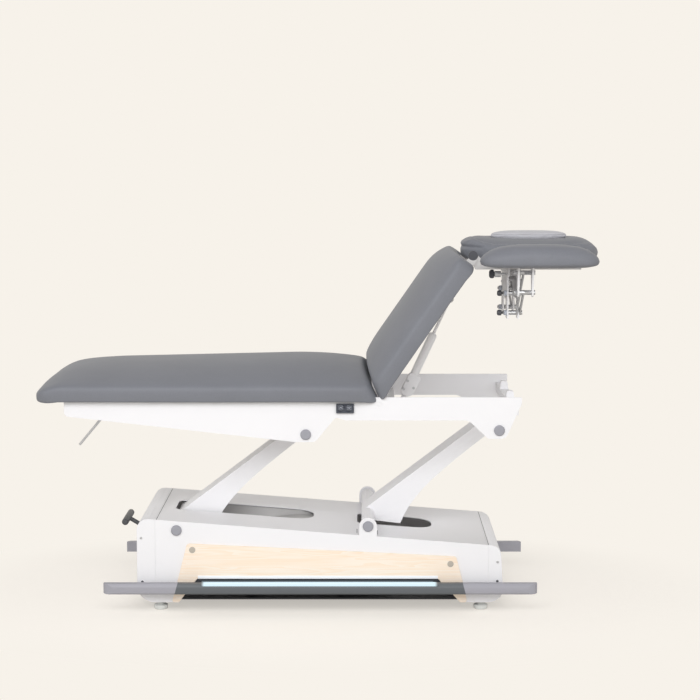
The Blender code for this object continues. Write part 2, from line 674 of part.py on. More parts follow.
def lift_arm(name, place, root, upper_half, with_lug):
    """Welded box arm: straight back, belly that flares to a gusset, and a hub tube at each end."""
    hinge = pivot(f"{name}_axis", root, (place[0], 0, place[1]), turn_y=-ARM_ANGLE)
    start, fade, steps = 0.066, 0.100, 10
    reach = ARM_LENGTH - 0.060
    belly = []
    for i in range(steps + 1):
        x = start + (reach - start) * (i / steps) ** 1.6
        belly.append((x, -ARM_BELLY - (GUSSET_DEPTH - ARM_BELLY) * math.exp(-(x - start) / fade)))
    outline = (arc(0, 0, ARM_TOP, 90, 240, 8) + belly + arc(ARM_LENGTH, 0, ARM_TOP, -80, 90, 8))
    arm = prism(outline, -ARM_HALF_WIDTH, ARM_HALF_WIDTH)
    lower_half = BASE_INNER - MOVE / 2
    join(arm, rod(HUB_RADIUS, -lower_half, lower_half, "Y", (0, 0, 0)),
         rod(HUB_RADIUS, -upper_half, upper_half, "Y", (ARM_LENGTH, 0, 0)))
    if with_lug:
        half = LUG_WIDTH / 2
        lug = arc(0, -DRIVE_LUG, LUG_WIDTH, 180, 360, 8) + [(LUG_WIDTH, 0), (-LUG_WIDTH, 0)]
        plate = prism(lug, -half, half)
        reshape(plate, lambda p: Vector((*turn(p.x, p.z, -ARM_ANGLE), p.y)).xzy)
        join(arm, plate)
    for x in (0, ARM_LENGTH):
        cut(arm, rod(AXLE_RADIUS + RUN, -1, 1, "Y", (x, 0, 0)))
    node(arm, name, "white_powder_coat", hinge)
    return hinge


# Top frame

def frame_plates(frame):
    """Profiled side plates with a rounded boss at each lift pivot."""
    mid = PLATE_TOP - PLATE_MID_DEPTH
    head = PIVOT_SPACING + PLATE_HEAD
    outline = rounded([
        (-PLATE_FOOT, PLATE_TOP, 0.003), (-PLATE_FOOT, PLATE_TOP - PLATE_FOOT_DEPTH, 0.015),
        (-0.030, -FOOT_BOSS, 0.030), (0.030, -FOOT_BOSS, 0.024), (0.094, mid + 0.010, 0.014),
        (0.126, mid, 0.020), (PIVOT_SPACING - 0.097, mid, 0.030),
        (PIVOT_SPACING - 0.034, PIVOT_RISE - HEAD_BOSS, 0.022),
        (PIVOT_SPACING + 0.020, PIVOT_RISE - HEAD_BOSS, 0.025),
        (head, PLATE_TOP - 0.020, 0.012), (head, PLATE_TOP, 0.004)])
    holes = ((0, 0, AXLE_RADIUS), (PIVOT_SPACING, PIVOT_RISE, AXLE_RADIUS),
             (BACK_HINGE_X, BACK_HINGE_Z, HINGE_ROD_RADIUS))
    for side, sign in (("near", -1), ("far", 1)):
        y0, y1 = sorted((sign * PLATE_INNER, sign * PLATE_OUTER))
        plate = prism(outline, y0, y1)
        for x, z, radius in holes:
            cut(plate, rod(radius + RUN, y0 - SHEET, y1 + SHEET, "Y", (x, 0, z)))
        node(plate, f"frame_plate_{side}", "white_powder_coat", frame)


def cross_tube(x, z, height):
    half = PLATE_INNER - GAP
    return box(x - CROSS_SIZE / 2, x + CROSS_SIZE / 2, -half, half, z - height / 2, z + height / 2)


def cross_members(frame):
    """Three tubes between the plates: lever lug, gas-spring fork and backrest bumpers are welded on."""
    foot = cross_tube(CROSS_FOOT_X, CROSS_FOOT_Z, CROSS_SIZE)
    z = CROSS_FOOT_Z - CROSS_SIZE
    side = LEVER_Y + LEVER_WIDTH / 2 + 2 * GAP
    lug = rounded([(CROSS_FOOT_X - 0.011, z - 0.011, 0.010), (CROSS_FOOT_X + 0.011, z - 0.011, 0.010),
                   (CROSS_FOOT_X + 0.014, CROSS_FOOT_Z, 0), (CROSS_FOOT_X - 0.014, CROSS_FOOT_Z, 0)])
    join(foot, prism(lug, side, side + GAS_PLATE),
         rod(LINK_PIN_RADIUS, LEVER_Y - LEVER_WIDTH / 2 - 0.003, side + GAS_PLATE / 2, "Y", (CROSS_FOOT_X, 0, z), 16))
    node(foot, "frame_cross_foot", "white_powder_coat", frame)
    x = GAS_FRAME_X - CROSS_MID_BEHIND
    middle = cross_tube(x, GAS_FRAME_Z, CROSS_MID_HEIGHT)
    fork = (arc(GAS_FRAME_X, GAS_FRAME_Z, 0.012, -90, 90, 8)
            + [(x, GAS_FRAME_Z + 0.009), (x, GAS_FRAME_Z - 0.009)])
    for sign in (-1, 1):
        y0, y1 = sorted((sign * GAS_FORK_GAP, sign * (GAS_FORK_GAP + GAS_PLATE)))
        join(middle, prism(fork, y0, y1))
    pin = GAS_FORK_GAP + GAS_PLATE
    join(middle, rod(LINK_PIN_RADIUS, -pin - 0.002, pin + 0.002, "Y", (GAS_FRAME_X, 0, GAS_FRAME_Z), 16))
    node(middle, "frame_cross_middle", "white_powder_coat", frame)
    x = PIVOT_SPACING + PLATE_HEAD - CROSS_HEAD_INSET
    head = cross_tube(x, CROSS_HEAD_Z, CROSS_SIZE)
    for sign in (-1, 1):
        post = rounded([(x - CROSS_SIZE / 2, CROSS_HEAD_Z, 0), (x + CROSS_SIZE / 2, CROSS_HEAD_Z, 0),
                        (x + BUMPER_RADIUS, PLATE_TOP - 2 * GAP, 0.008), (x - BUMPER_RADIUS, PLATE_TOP - 2 * GAP, 0.008)])
        join(head, prism(post, sign * BUMPER_Y - 0.015, sign * BUMPER_Y + 0.015))
    node(head, "frame_cross_head", "white_powder_coat", frame)


def ring_outline(x0, x1, half, corner, inset, draw):
    """A rounded rectangle in plan, whose straight sides are drawn in a little between the corners."""
    x0, x1, half = x0 + inset, x1 - inset, half - inset
    corner = max(corner - inset, 0.006)
    points = []
    spans = ((x1 - corner, half - corner, 0), (x0 + corner, half - corner, 90),
             (x0 + corner, -half + corner, 180), (x1 - corner, -half + corner, 270))
    counts = (6, 5, 6, 5)
    for k, (cx, cy, start) in enumerate(spans):
        points += [(x, y) for x, y in arc(cx, cy, corner, start, start + 90, 4)]
        nx, ny, turn_to = spans[(k + 1) % 4]
        (ax, ay), (bx, by) = points[-1], arc(nx, ny, corner, turn_to, turn_to, 1)[0]
        inward = Vector((-(by - ay), bx - ax)).normalized()
        for i in range(1, counts[k]):
            t = i / counts[k]
            pull = draw * math.sin(math.pi * t)
            points.append((ax + (bx - ax) * t + inward.x * pull, ay + (by - ay) * t + inward.y * pull))
    return points


def cushion(x0, x1, bottom, start_crown, end_crown):
    """Upholstered pad: rolled edges, drawn-in sides and a top whose crown may grow along the pad."""
    top = bottom + CUSHION_FLAT
    levels = [(0.004, bottom), (0.001, bottom + 0.003), (0.0, bottom + 0.016), (0.0, top - CUSHION_EDGE)]
    levels += [(CUSHION_EDGE * (1 - math.cos(math.radians(a))), top - CUSHION_EDGE * (1 - math.sin(math.radians(a))))
               for a in (30, 60, 90)]
    rings = []
    for inset, z in levels:
        grown = smooth_step((z - bottom) / (CUSHION_FLAT - CUSHION_EDGE))
        corner = CUSHION_FOOT_CORNER + (CUSHION_CORNER - CUSHION_FOOT_CORNER) * grown
        rings.append([(x, y, z) for x, y in ring_outline(x0, x1, CUSHION_HALF_WIDTH, corner, inset, 0.004)])
    for reach, rise in ((0.030, 0.42), (0.070, 0.72), (0.120, 0.90), (0.180, 1.0)):
        outline = ring_outline(x0, x1, CUSHION_HALF_WIDTH, CUSHION_CORNER, CUSHION_EDGE + reach, 0.004)
        rings.append([(x, y, top + rise * (start_crown + (end_crown - start_crown) * smooth_step((x - x0) / (x1 - x0))))
                      for x, y in outline])
    return loft(rings)


def seat(frame):
    x1 = BACK_HINGE_X - SEAT_HEAD_GAP
    pad = cushion(-SEAT_FOOT, x1, SEAT_RIM, SEAT_CROWN_FOOT, SEAT_CROWN_HEAD)
    lean_from = x1 - SEAT_LEAN_SPAN
    reshape(pad, lambda p: p - Vector((SEAT_END_LEAN * (p.z - SEAT_RIM)
                                       * smooth_step((p.x - lean_from) / (x1 - lean_from)), 0, 0)))
    side = PLATE_OUTER + MOVE
    ceiling = BOARD_BOTTOM + BOARD_THICKNESS + GAP
    cut(pad, box(-SEAT_FOOT + BOARD_INSET, x1 + BOARD_INSET, -side, side, SEAT_RIM - 0.010, ceiling))
    node(pad, "seat_cushion", "grey_upholstery", frame)
    board = box(-SEAT_FOOT + BOARD_INSET + 0.010, x1 - BOARD_INSET, -PLATE_OUTER, PLATE_OUTER,
                BOARD_BOTTOM, BOARD_BOTTOM + BOARD_THICKNESS)
    node(board, "seat_board", "plywood", frame)


def hinge_rod(frame):
    node(rod(HINGE_ROD_RADIUS, -PLATE_OUTER, PLATE_OUTER, "Y", (BACK_HINGE_X, 0, BACK_HINGE_Z)),
         "backrest_hinge_rod", "steel", frame)


def hand_control(frame):
    """Two-button panel on the operator's side plate."""
    face = PLATE_OUTER + GAP
    x0, x1 = CONTROL_X - CONTROL_LENGTH / 2, CONTROL_X + CONTROL_LENGTH / 2
    panel = soft_box(x0, x1, -face - CONTROL_DEPTH, -face, CONTROL_TOP - CONTROL_HEIGHT, CONTROL_TOP, 0.002)
    z = CONTROL_TOP - CONTROL_HEIGHT / 2
    floor = -face - CONTROL_DEPTH + 0.005
    for name, x in (("up_button", CONTROL_X - BUTTON_PITCH / 2), ("down_button", CONTROL_X + BUTTON_PITCH / 2)):
        cut(panel, rod(BUTTON_RADIUS + RUN, -face - 2 * CONTROL_DEPTH, floor, "Y", (x, 0, z)))
        outer = -face - CONTROL_DEPTH - BUTTON_PROUD
        cap = turned([(BUTTON_RADIUS * 0.85, outer), (BUTTON_RADIUS, outer + 0.001),
                      (BUTTON_RADIUS, floor - BUTTON_PROUD)], "Y", (0, 0, 0), 20)
        node(cap, name, "dark_plastic", pivot(f"{name}_rest", frame, (x, 0, z)))
    node(panel, "control_panel", "dark_plastic", frame)


def release_lever(frame):
    hinge = pivot("release_lever_axis", frame, (CROSS_FOOT_X, LEVER_Y, CROSS_FOOT_Z - CROSS_SIZE), turn_y=-LEVER_ANGLE)
    half = LEVER_WIDTH / 2
    eye = rod(0.009, -half, half, "Y", (0, 0, 0))
    join(eye, soft_box(-LEVER_LENGTH, 0, -half, half, -LEVER_THICKNESS / 2, LEVER_THICKNESS / 2, 0.0015, 1))
    cut(eye, rod(LINK_PIN_RADIUS + RUN, -half - SHEET, half + SHEET, "Y", (0, 0, 0), 16))
    node(eye, "release_lever", "steel", hinge)


# Backrest

def backrest(frame):
    hinge = pivot("backrest_axis", frame, (BACK_HINGE_X, 0, BACK_HINGE_Z), turn_y=-BACK_ANGLE)
    x1 = BACK_START + BACK_LENGTH
    pad = cushion(BACK_START, x1, BACK_RIM, BACK_CROWN, BACK_CROWN)
    span = BACK_LEAN_SPAN

    def lean(p):
        low = smooth_step((BACK_START + span - p.x) / span) * BACK_END_LEAN
        high = smooth_step((p.x - x1 + span) / span) * BACK_TOP_LEAN
        return p + Vector(((low - high) * (p.z - BACK_RIM), 0, 0))

    reshape(pad, lean)
    side = PLATE_OUTER + MOVE
    cut(pad, box(-0.1, x1 + 0.1, -side, side, -0.1, BACK_BOARD + BOARD_THICKNESS + GAP))
    node(pad, "backrest_cushion", "grey_upholstery", hinge)
    board = box(BACK_START + BOARD_INSET, x1 - BOARD_INSET, -PLATE_OUTER, PLATE_OUTER, BACK_BOARD, BACK_BOARD + BOARD_THICKNESS)
    node(board, "backrest_board", "plywood", hinge)
    frame_piece = None
    for u in (0.070, GAS_BACK_U, BACK_LENGTH - 0.030):
        tie = box(u - 0.015, u + 0.015, -RAIL_Y - 0.002, RAIL_Y + 0.002, RAIL_TOP - 0.012, RAIL_TOP - 0.001)
        frame_piece = tie if frame_piece is None else join(frame_piece, tie)
    for sign in (-1, 1):
        y0, y1 = sorted((sign * RAIL_Y, sign * (RAIL_Y + RAIL_THICKNESS)))
        rail = box(0, HEAD_HINGE_U - 0.004, y0, y1, RAIL_BOTTOM, RAIL_TOP)
        pin0, pin1 = sorted((sign * (RAIL_Y - 0.013), sign * (RAIL_Y + 0.003)))
        y0, y1 = y0 - GAP, y1 + GAP
        join(rail, rod(EAR_RADIUS, y0, y1, "Y", (0, 0, 0)),
             rod(EAR_RADIUS, y0, y1, "Y", (HEAD_HINGE_U, 0, HEAD_HINGE_N)),
             rod(HEAD_PIN_RADIUS, pin0, pin1, "Y", (HEAD_HINGE_U, 0, HEAD_HINGE_N), 16))
        cut(rail, rod(HINGE_ROD_RADIUS + RUN, y0 - SHEET, y1 + SHEET, "Y", (0, 0, 0)))
        join(frame_piece, rail)
    fork = arc(GAS_BACK_U, GAS_BACK_N, 0.012, 180, 360, 8) + [(GAS_BACK_U + 0.013, RAIL_TOP - 0.006),
                                                              (GAS_BACK_U - 0.013, RAIL_TOP - 0.006)]
    for sign in (-1, 1):
        y0, y1 = sorted((sign * GAS_FORK_GAP, sign * (GAS_FORK_GAP + GAS_PLATE)))
        join(frame_piece, prism(fork, y0, y1))
    node(frame_piece, "backrest_frame", "white_powder_coat", hinge)
    return hinge


def gas_spring(frame):
    """Gas spring: the cylinder turns on the frame's fork and the rod lifts the backrest."""
    hinge = pivot("gas_spring_axis", frame, (GAS_FRAME_X, 0, GAS_FRAME_Z), turn_y=-GAS_ANGLE)
    half = GAS_FORK_GAP - 2 * GAP
    eye = rod(0.011, -half, half, "Y", (0, 0, 0))
    neck = rod(0.008, 0.004, 0.040, "X", (0, 0, 0), 16)
    tube = turned([(GAS_TUBE_RADIUS * 0.7, 0.030), (GAS_TUBE_RADIUS, 0.036), (GAS_TUBE_RADIUS, GAS_TUBE_END - 0.006),
                   (GAS_TUBE_RADIUS * 0.7, GAS_TUBE_END)], "X", (0, 0, 0))
    join(eye, neck, tube)
    cut(eye, rod(LINK_PIN_RADIUS + RUN, -half - SHEET, half + SHEET, "Y", (0, 0, 0), 16),
        rod(GAS_ROD_RADIUS + RUN, GAS_TUBE_END - GAS_BORE, GAS_TUBE_END + 0.010, "X", (0, 0, 0), 16))
    node(eye, "gas_spring_cylinder", "steel", hinge)
    piston = rod(GAS_ROD_RADIUS, GAS_TUBE_END - GAS_ROD_INSIDE, GAS_LENGTH, "X", (0, 0, 0), 16)
    join(piston, rod(GAS_EYE, -0.006, 0.006, "Y", (GAS_LENGTH, 0, 0), 16))
    node(piston, "gas_spring_rod", "steel", hinge)


# Head section

def ellipse_ring(centre, half_x, half_y, z, power, count=40):
    """A closed superellipse in plan at one height."""
    ring = []
    for i in range(count):
        angle = 2 * math.pi * i / count
        c, s = math.cos(angle), math.sin(angle)
        ring.append((centre[0] + half_x * math.copysign(abs(c) ** (2 / power), c),
                     centre[1] + half_y * math.copysign(abs(s) ** (2 / power), s), z))
    return ring


def face_hole(extra, low, high):
    ring = ellipse_ring((FACE_HOLE_X, 0), FACE_HOLE_LENGTH / 2 + extra, FACE_HOLE_WIDTH / 2 + extra, 0, 2.2, 32)
    return prism([(x, y) for x, y, _ in ring], low, high, "Z")


def head_cushion(head):
    """Oval head pad with a rolled rim, a sewn groove inside it and a face opening."""
    middle, half = (HEAD_REACH - HEAD_ROLL) / 2, (HEAD_REACH + HEAD_ROLL) / 2
    top = HEAD_EDGE_TOP
    levels = [(0.93, HEAD_BOTTOM), (0.985, HEAD_BOTTOM + 0.007), (1.0, HEAD_BOTTOM + 0.020), (1.0, top - 0.018),
              (0.985, top - 0.006), (0.945, top), (0.905, top - 0.002), (0.885, top - HEAD_GROOVE),
              (0.865, top - 0.001), (0.78, top + HEAD_CROWN * 0.6), (0.70, top + HEAD_CROWN * 0.9),
              (0.62, top + HEAD_CROWN)]
    pad = loft([ellipse_ring((middle, 0), half * s, HEAD_HALF_WIDTH * s, z, 2.5) for s, z in levels])

    def rolled(p):
        up = HEAD_ROLL_RISE * smooth_step((HEAD_ROLL_DEPTH - HEAD_ROLL - p.x) / HEAD_ROLL_DEPTH)
        down = HEAD_END_DROP * smooth_step((p.x - HEAD_REACH + HEAD_END_DEPTH) / HEAD_END_DEPTH)
        return Vector((p.x, p.y, p.z * (1 + up - down) if p.z > 0 else p.z))

    reshape(pad, rolled)
    cut(pad, face_hole(0, HEAD_BOTTOM - 0.010, top + HEAD_CROWN + 0.010))
    node(pad, "head_cushion", "grey_upholstery", head)
    rest = top + HEAD_CROWN + GAP
    body = [(-0.0015, HEAD_BOTTOM + 0.012), (-0.0015, rest), (PLUG_LIP, rest), (PLUG_LIP + 0.001, rest + 0.006)]
    rings = [ellipse_ring((FACE_HOLE_X, 0), FACE_HOLE_LENGTH / 2 + e, FACE_HOLE_WIDTH / 2 + e, z, 2.2, 32)
             for e, z in body]
    rings += [ellipse_ring((FACE_HOLE_X, 0), (FACE_HOLE_LENGTH / 2 + PLUG_LIP) * s, (FACE_HOLE_WIDTH / 2 + PLUG_LIP) * s,
                           rest + PLUG_RISE * rise, 2.2, 32) for s, rise in ((0.95, 0.72), (0.80, 0.92), (0.5, 1.0))]
    node(loft(rings), "face_hole_plug", "grey_plug", pivot("face_hole_plug_rest", head, (0, 0, 0)))


def head_frame(head):
    """Welded carrier of the head pad: side bars with hinge ears, two ties and a pad plate."""
    inner = RAIL_Y - 0.0015 - RAIL_THICKNESS
    end = HEAD_REACH - 0.070
    low = BAR_Z - HEAD_BAR_DEPTH
    piece = None
    for sign in (-1, 1):
        y0, y1 = sorted((sign * inner, sign * (inner + RAIL_THICKNESS)))
        bar = prism([(-0.011, -0.006), (0.008, low), (end, low), (end, BAR_Z), (0.040, BAR_Z), (0.012, 0.004)], y0, y1)
        join(bar, rod(EAR_RADIUS, y0, y1, "Y", (0, 0, 0)))
        cut(bar, rod(HEAD_PIN_RADIUS + RUN, y0 - SHEET, y1 + SHEET, "Y", (0, 0, 0), 16))
        piece = bar if piece is None else join(piece, bar)
    for x in (0.046, end - 0.010):
        join(piece, box(x - 0.008, x + 0.008, -inner - 0.002, inner + 0.002, low, BAR_Z + HEAD_PLATE / 2))
    plate = prism(rounded([(0.038, -0.128, 0.03), (end, -0.128, 0.03), (end, 0.128, 0.03), (0.038, 0.128, 0.03)]),
                  BAR_Z, HEAD_PLATE_TOP, "Z")
    cut(plate, face_hole(0.006, BAR_Z - 0.01, HEAD_PLATE_TOP + 0.01))
    node(join(piece, plate), "head_frame", "white_powder_coat", head)


def yoke(head):
    """Pair of hanger plates across the head section that carry the links of both armrests."""
    wide = RAIL_Y - 0.0015
    half = [(wide, YOKE_TOP), (wide, YOKE_TOP - 0.016), (YOKE_HALF_WIDTH, YOKE_TOP - 0.030),
            (YOKE_HALF_WIDTH, YOKE_BOTTOM), (0.070, YOKE_BOTTOM), (0.050, YOKE_BOTTOM + 0.060)]
    outline = half + [(-y, z) for y, z in half[::-1]]
    piece = None
    for left in (YOKE_LEFT, YOKE_RIGHT - YOKE_PLATE):
        plate = prism(outline, left, left + YOKE_PLATE, "X")
        for y in (-PIN_Y, PIN_Y):
            for z in (LOWER_PIN_Z, UPPER_PIN_Z):
                cut(plate, rod(LINK_PIN_RADIUS + RUN, left - SHEET, left + YOKE_PLATE + SHEET, "X", (0, y, z), 16))
        piece = plate if piece is None else join(piece, plate)
    spacer = YOKE_LEFT + YOKE_PLATE / 2, YOKE_RIGHT - YOKE_PLATE / 2
    for y, z in ((-0.080, YOKE_TOP - 0.018), (0.080, YOKE_TOP - 0.018), (0, YOKE_TOP - 0.040)):
        join(piece, rod(0.008, *spacer, "X", (0, y, z), 16))
    node(piece, "armrest_yoke", "white_powder_coat", head)


def capped_pin(left, right, sleeve, y, z):
    """Pin along X with a ball end at the left, a nut at the right and a spacer sleeve on it."""
    core = turned([(BALL_RADIUS * 0.5, left - 0.0145), (BALL_RADIUS, left - 0.0095), (BALL_RADIUS, left - 0.0055),
                   (BALL_RADIUS * 0.6, left - GAP), (LINK_PIN_RADIUS, left - GAP), (LINK_PIN_RADIUS, right + GAP),
                   (SLEEVE_RADIUS, right + GAP), (SLEEVE_RADIUS, right + 0.0055)], "X", (0, y, z), 12)
    return join(core, rod(SLEEVE_RADIUS, *sleeve, "X", (0, y, z), 12))


def armrest_link(name, head, sign, z):
    """Two straps and their two pins, welded as one link of the parallelogram."""
    hinge = pivot(f"{name}_axis", head, (0, sign * PIN_Y, z), turn_x=sign * LINK_ANGLE)
    left_strap = BRACKET_LEFT + BRACKET_PLATE + 2 * GAP
    right_strap = YOKE_RIGHT + 2 * GAP
    end = right_strap + LINK_PLATE
    yoke_pin = capped_pin(YOKE_LEFT, end, (YOKE_LEFT + YOKE_PLATE + 2 * GAP, left_strap + 0.001), 0, 0)
    rest_pin = capped_pin(BRACKET_LEFT, BRACKET_RIGHT, (left_strap, BRACKET_RIGHT - BRACKET_PLATE - 2 * GAP),
                          sign * LINK_LENGTH, 0)
    half = LINK_WIDTH / 2
    outline = arc(0, 0, half, 90, 270, 8) + arc(LINK_LENGTH, 0, half, -90, 90, 8)
    outline = [(sign * y, zz) for y, zz in outline]
    for left in (left_strap, right_strap):
        join(yoke_pin, prism(outline, left, left + LINK_PLATE, "X"))
    node(join(yoke_pin, rest_pin), name, "white_powder_coat", hinge)
    return hinge


def armrest(side, sign, head):
    """Upper link carries the armrest bracket; the lower link keeps it level."""
    upper = armrest_link(f"armrest_link_upper_{side}", head, sign, UPPER_PIN_Z)
    armrest_link(f"armrest_link_lower_{side}", head, sign, LOWER_PIN_Z)
    level = pivot(f"armrest_{side}_axis", upper, (0, sign * LINK_LENGTH, 0), turn_x=-sign * LINK_ANGLE)
    pin_z = UPPER_PIN_Z + REST_PIN_RISE
    plate_top = REST_BOTTOM - GAP - pin_z
    half, low = BRACKET_HALF_DEPTH, -PIN_SPACING
    cheek = [(-half, plate_top), (-0.014, low)] + arc(0, low, 0.014, 180, 360, 8)[1:-1] + [(0.014, low), (half, plate_top)]
    piece = box(BRACKET_LEFT - 0.030, REST_START + REST_LENGTH - 0.045, -half - 0.001, half + 0.001,
                plate_top - 0.004, plate_top)
    for left in (BRACKET_LEFT, BRACKET_RIGHT - BRACKET_PLATE):
        plate = prism([(y, z - 0.002 if z == plate_top else z) for y, z in cheek], left, left + BRACKET_PLATE, "X")
        for z in (0, low):
            cut(plate, rod(LINK_PIN_RADIUS + RUN, left - SHEET, left + BRACKET_PLATE + SHEET, "X", (0, 0, z), 16))
        join(piece, plate)
    node(piece, f"armrest_bracket_{side}", "white_powder_coat", level)
    centre = (REST_START + REST_LENGTH / 2, sign * (REST_INNER + REST_WIDTH / 2 - REST_PIN_Y))
    bottom = REST_BOTTOM - pin_z
    levels = ((0.92, 0.0), (0.975, 0.06), (1.0, 0.20), (0.985, 0.36), (0.935, 0.54), (0.80, 0.77),
              (0.66, 0.90), (0.40, 0.98), (0.2, 1.0))
    pad = loft([ellipse_ring(centre, REST_LENGTH / 2 * s, REST_WIDTH / 2 * s, bottom + REST_HEIGHT * rise, 3.0)
                for s, rise in levels])
    node(pad, f"armrest_cushion_{side}", "grey_upholstery", level)


def build():
    clear_scene()
    root = pivot("treatment_table", None, (ORIGIN_X, 0, 0))
    base_cover(root)
    end_covers(root)
    base_pan(root)
    feet(root)
    axle("lower_axle_foot", *LOWER_FOOT, BASE_HALF_WIDTH, root)
    axle("lower_axle_head", *LOWER_HEAD, BASE_HALF_WIDTH, root)
    wood_panels(root)
    light_strips(root)
    foot_bars(root)
    castor_pedal(root)
    lift_drive(root)
    control_box(root)
    upper_half = PLATE_INNER - MOVE / 2
    foot_arm = lift_arm("lift_arm_foot", LOWER_FOOT, root, upper_half, True)
    lift_arm("lift_arm_head", LOWER_HEAD, root, upper_half, False)
    frame = pivot("top_frame_axis", foot_arm, (ARM_LENGTH, 0, 0), turn_y=ARM_ANGLE)
    frame_plates(frame)
    cross_members(frame)
    axle("upper_axle_foot", 0, 0, PLATE_OUTER, frame)
    axle("upper_axle_head", PIVOT_SPACING, PIVOT_RISE, PLATE_OUTER, frame)
    seat(frame)
    hinge_rod(frame)
    hand_control(frame)
    release_lever(frame)
    back = backrest(frame)
    gas_spring(frame)
    head = pivot("head_axis", back, (HEAD_HINGE_U, 0, HEAD_HINGE_N), turn_y=BACK_ANGLE)
    head_cushion(head)
    head_frame(head)
    yoke(head)
    armrest("near", -1, head)
    armrest("far", 1, head)


build()
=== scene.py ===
"""Looks of the electric treatment table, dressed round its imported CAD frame.

Metres, +Z up, +X from the foot end to the head end, -Y the side that faces the camera.
"""
import json
import math

import bmesh
import bpy
from mathutils import Matrix, Vector


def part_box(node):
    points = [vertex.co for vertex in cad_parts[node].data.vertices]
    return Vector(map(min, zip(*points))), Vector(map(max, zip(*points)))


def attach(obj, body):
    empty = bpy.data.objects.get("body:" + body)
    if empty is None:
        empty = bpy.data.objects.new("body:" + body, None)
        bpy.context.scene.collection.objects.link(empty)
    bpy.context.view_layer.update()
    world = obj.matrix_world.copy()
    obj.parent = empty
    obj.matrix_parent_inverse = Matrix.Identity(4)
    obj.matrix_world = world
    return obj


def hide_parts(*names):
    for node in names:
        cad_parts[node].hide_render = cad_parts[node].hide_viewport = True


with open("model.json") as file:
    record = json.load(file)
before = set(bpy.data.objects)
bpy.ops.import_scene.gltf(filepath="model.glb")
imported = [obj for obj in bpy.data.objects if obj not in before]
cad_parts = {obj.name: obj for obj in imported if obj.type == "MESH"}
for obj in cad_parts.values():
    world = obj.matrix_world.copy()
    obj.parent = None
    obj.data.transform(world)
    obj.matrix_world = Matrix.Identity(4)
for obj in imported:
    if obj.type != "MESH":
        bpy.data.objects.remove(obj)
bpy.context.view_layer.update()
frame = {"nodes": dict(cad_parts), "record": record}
MM = 0.001

# Camera fitted to the photograph
CAMERA_PLACE = (0.11625, -6.309, 1.4927)
CAMERA_PITCH = 6.213
CAMERA_LENS = 99.2
CAMERA_SHIFT_PX = -10
FRAME_PX = 700

# The two sides of the table, with the sign of Y
SIDES = (("near", -1), ("far", 1))

# Head section and armrest pins
HEAD_PIVOT = (0.4762, 1.128)
HEAD_HALF_WIDTH = 0.185
HEAD_TOP_Z = 1.182
HEAD_BOW = 46 * MM
HEAD_ROLL = 18 * MM
HEAD_END_DROP = 32 * MM
HEAD_CROWN = 11 * MM
HEAD_CREASE_Z = 1.150
HEAD_CREASE_END = 0.52
HEAD_CLAMP = (-0.100, 1.0633)
PIN_Y = 0.110

# Seat and backrest pads
PAD_HALF_WIDTH = 0.341
PAD_HOLLOW = 0.041
PAD_TUCK = 11 * MM
CROWN_POWER = 2.6
SIDE_RIM = 19 * MM
CORNER_RIM = 71 * MM
CORNER_RUN = 55 * MM
SEAT_FOOT_X = -0.905
SEAT_HEAD_X = 0.184
SEAT_BASE_Z = 0.6695
SEAT_CORNER = 50 * MM
SEAT_NOSE = 45 * MM
SEAT_RISE = 52.5 * MM
SEAT_RISE_RUN = 0.20
SEAT_SHOULDER = 6 * MM
SEAT_SWELL = 16 * MM
SEAT_DIP = 17 * MM
SEAT_SIDE = 55 * MM
SEAT_END_SKIRT = 70 * MM
SEAT_LEAN = 0.53
BACK_TILT = 55.2
BACK_HINGE = (0.1763, 0.6679)
BACK_FROM_HINGE = 3 * MM
BACK_BEHIND = 5 * MM
BACK_PAD_LENGTH = 0.524
BACK_CORNER = 45 * MM
BACK_DEPTH = 113 * MM
BACK_LOWER_DIP = 8 * MM
BACK_UPPER_DIP = 26 * MM
BACK_SIDE = 57 * MM
BACK_LEAN = 0.62

# Gas spring
GAS_TILT = 62.0
GAS_EYE = (0.2503, 0.0, 0.6299)
CLEVIS_HALF_WIDTH = 16 * MM

# Base, its light and its fittings
COVER_SEAMS = (-0.53535, 0.52535)
SEAM_LINES = (-0.5310, 0.52535)
SEAM_HALF = 0.277
BASE_SLOPE = 0.0771
FOOT_CORNER = 55 * MM
HEAD_CORNER = 46 * MM
PAN_STRETCHES = (-0.475, -0.460, 0.432, 0.447)
PAN_SHARE = 0.87
PAN_ENDS = (-0.535, 0.512)
LIGHT_LINE = (-0.387, 0.363)
LIGHT_FADE = 12 * MM
LIGHT_Z = (0.0922, 0.0996)
LIGHT_DEPTH = 29 * MM
CHANNEL_SHADE_OUTLINE = ((-0.4105, 0.0910), (-0.3985, 0.1078), (0.3610, 0.1078), (0.3750, 0.0910))
NOTCH_EDGE = (-0.3994, 0.3640)
NOTCH_EDGE_Z = (0.1050, 0.1150)
HUB_SLITS = ((0.1067, 0.2580), (0.1715, 0.2530))
TRAY_ENDS = (-0.350, -0.040)
TRAY_HALF_WIDTH = 83 * MM
TRAY_Z = (0.182, 0.2440)
PROUD = 0.6 * MM

# Control panel
PANEL_DROP = 6 * MM
SIGN_DEPTH = 0.3 * MM

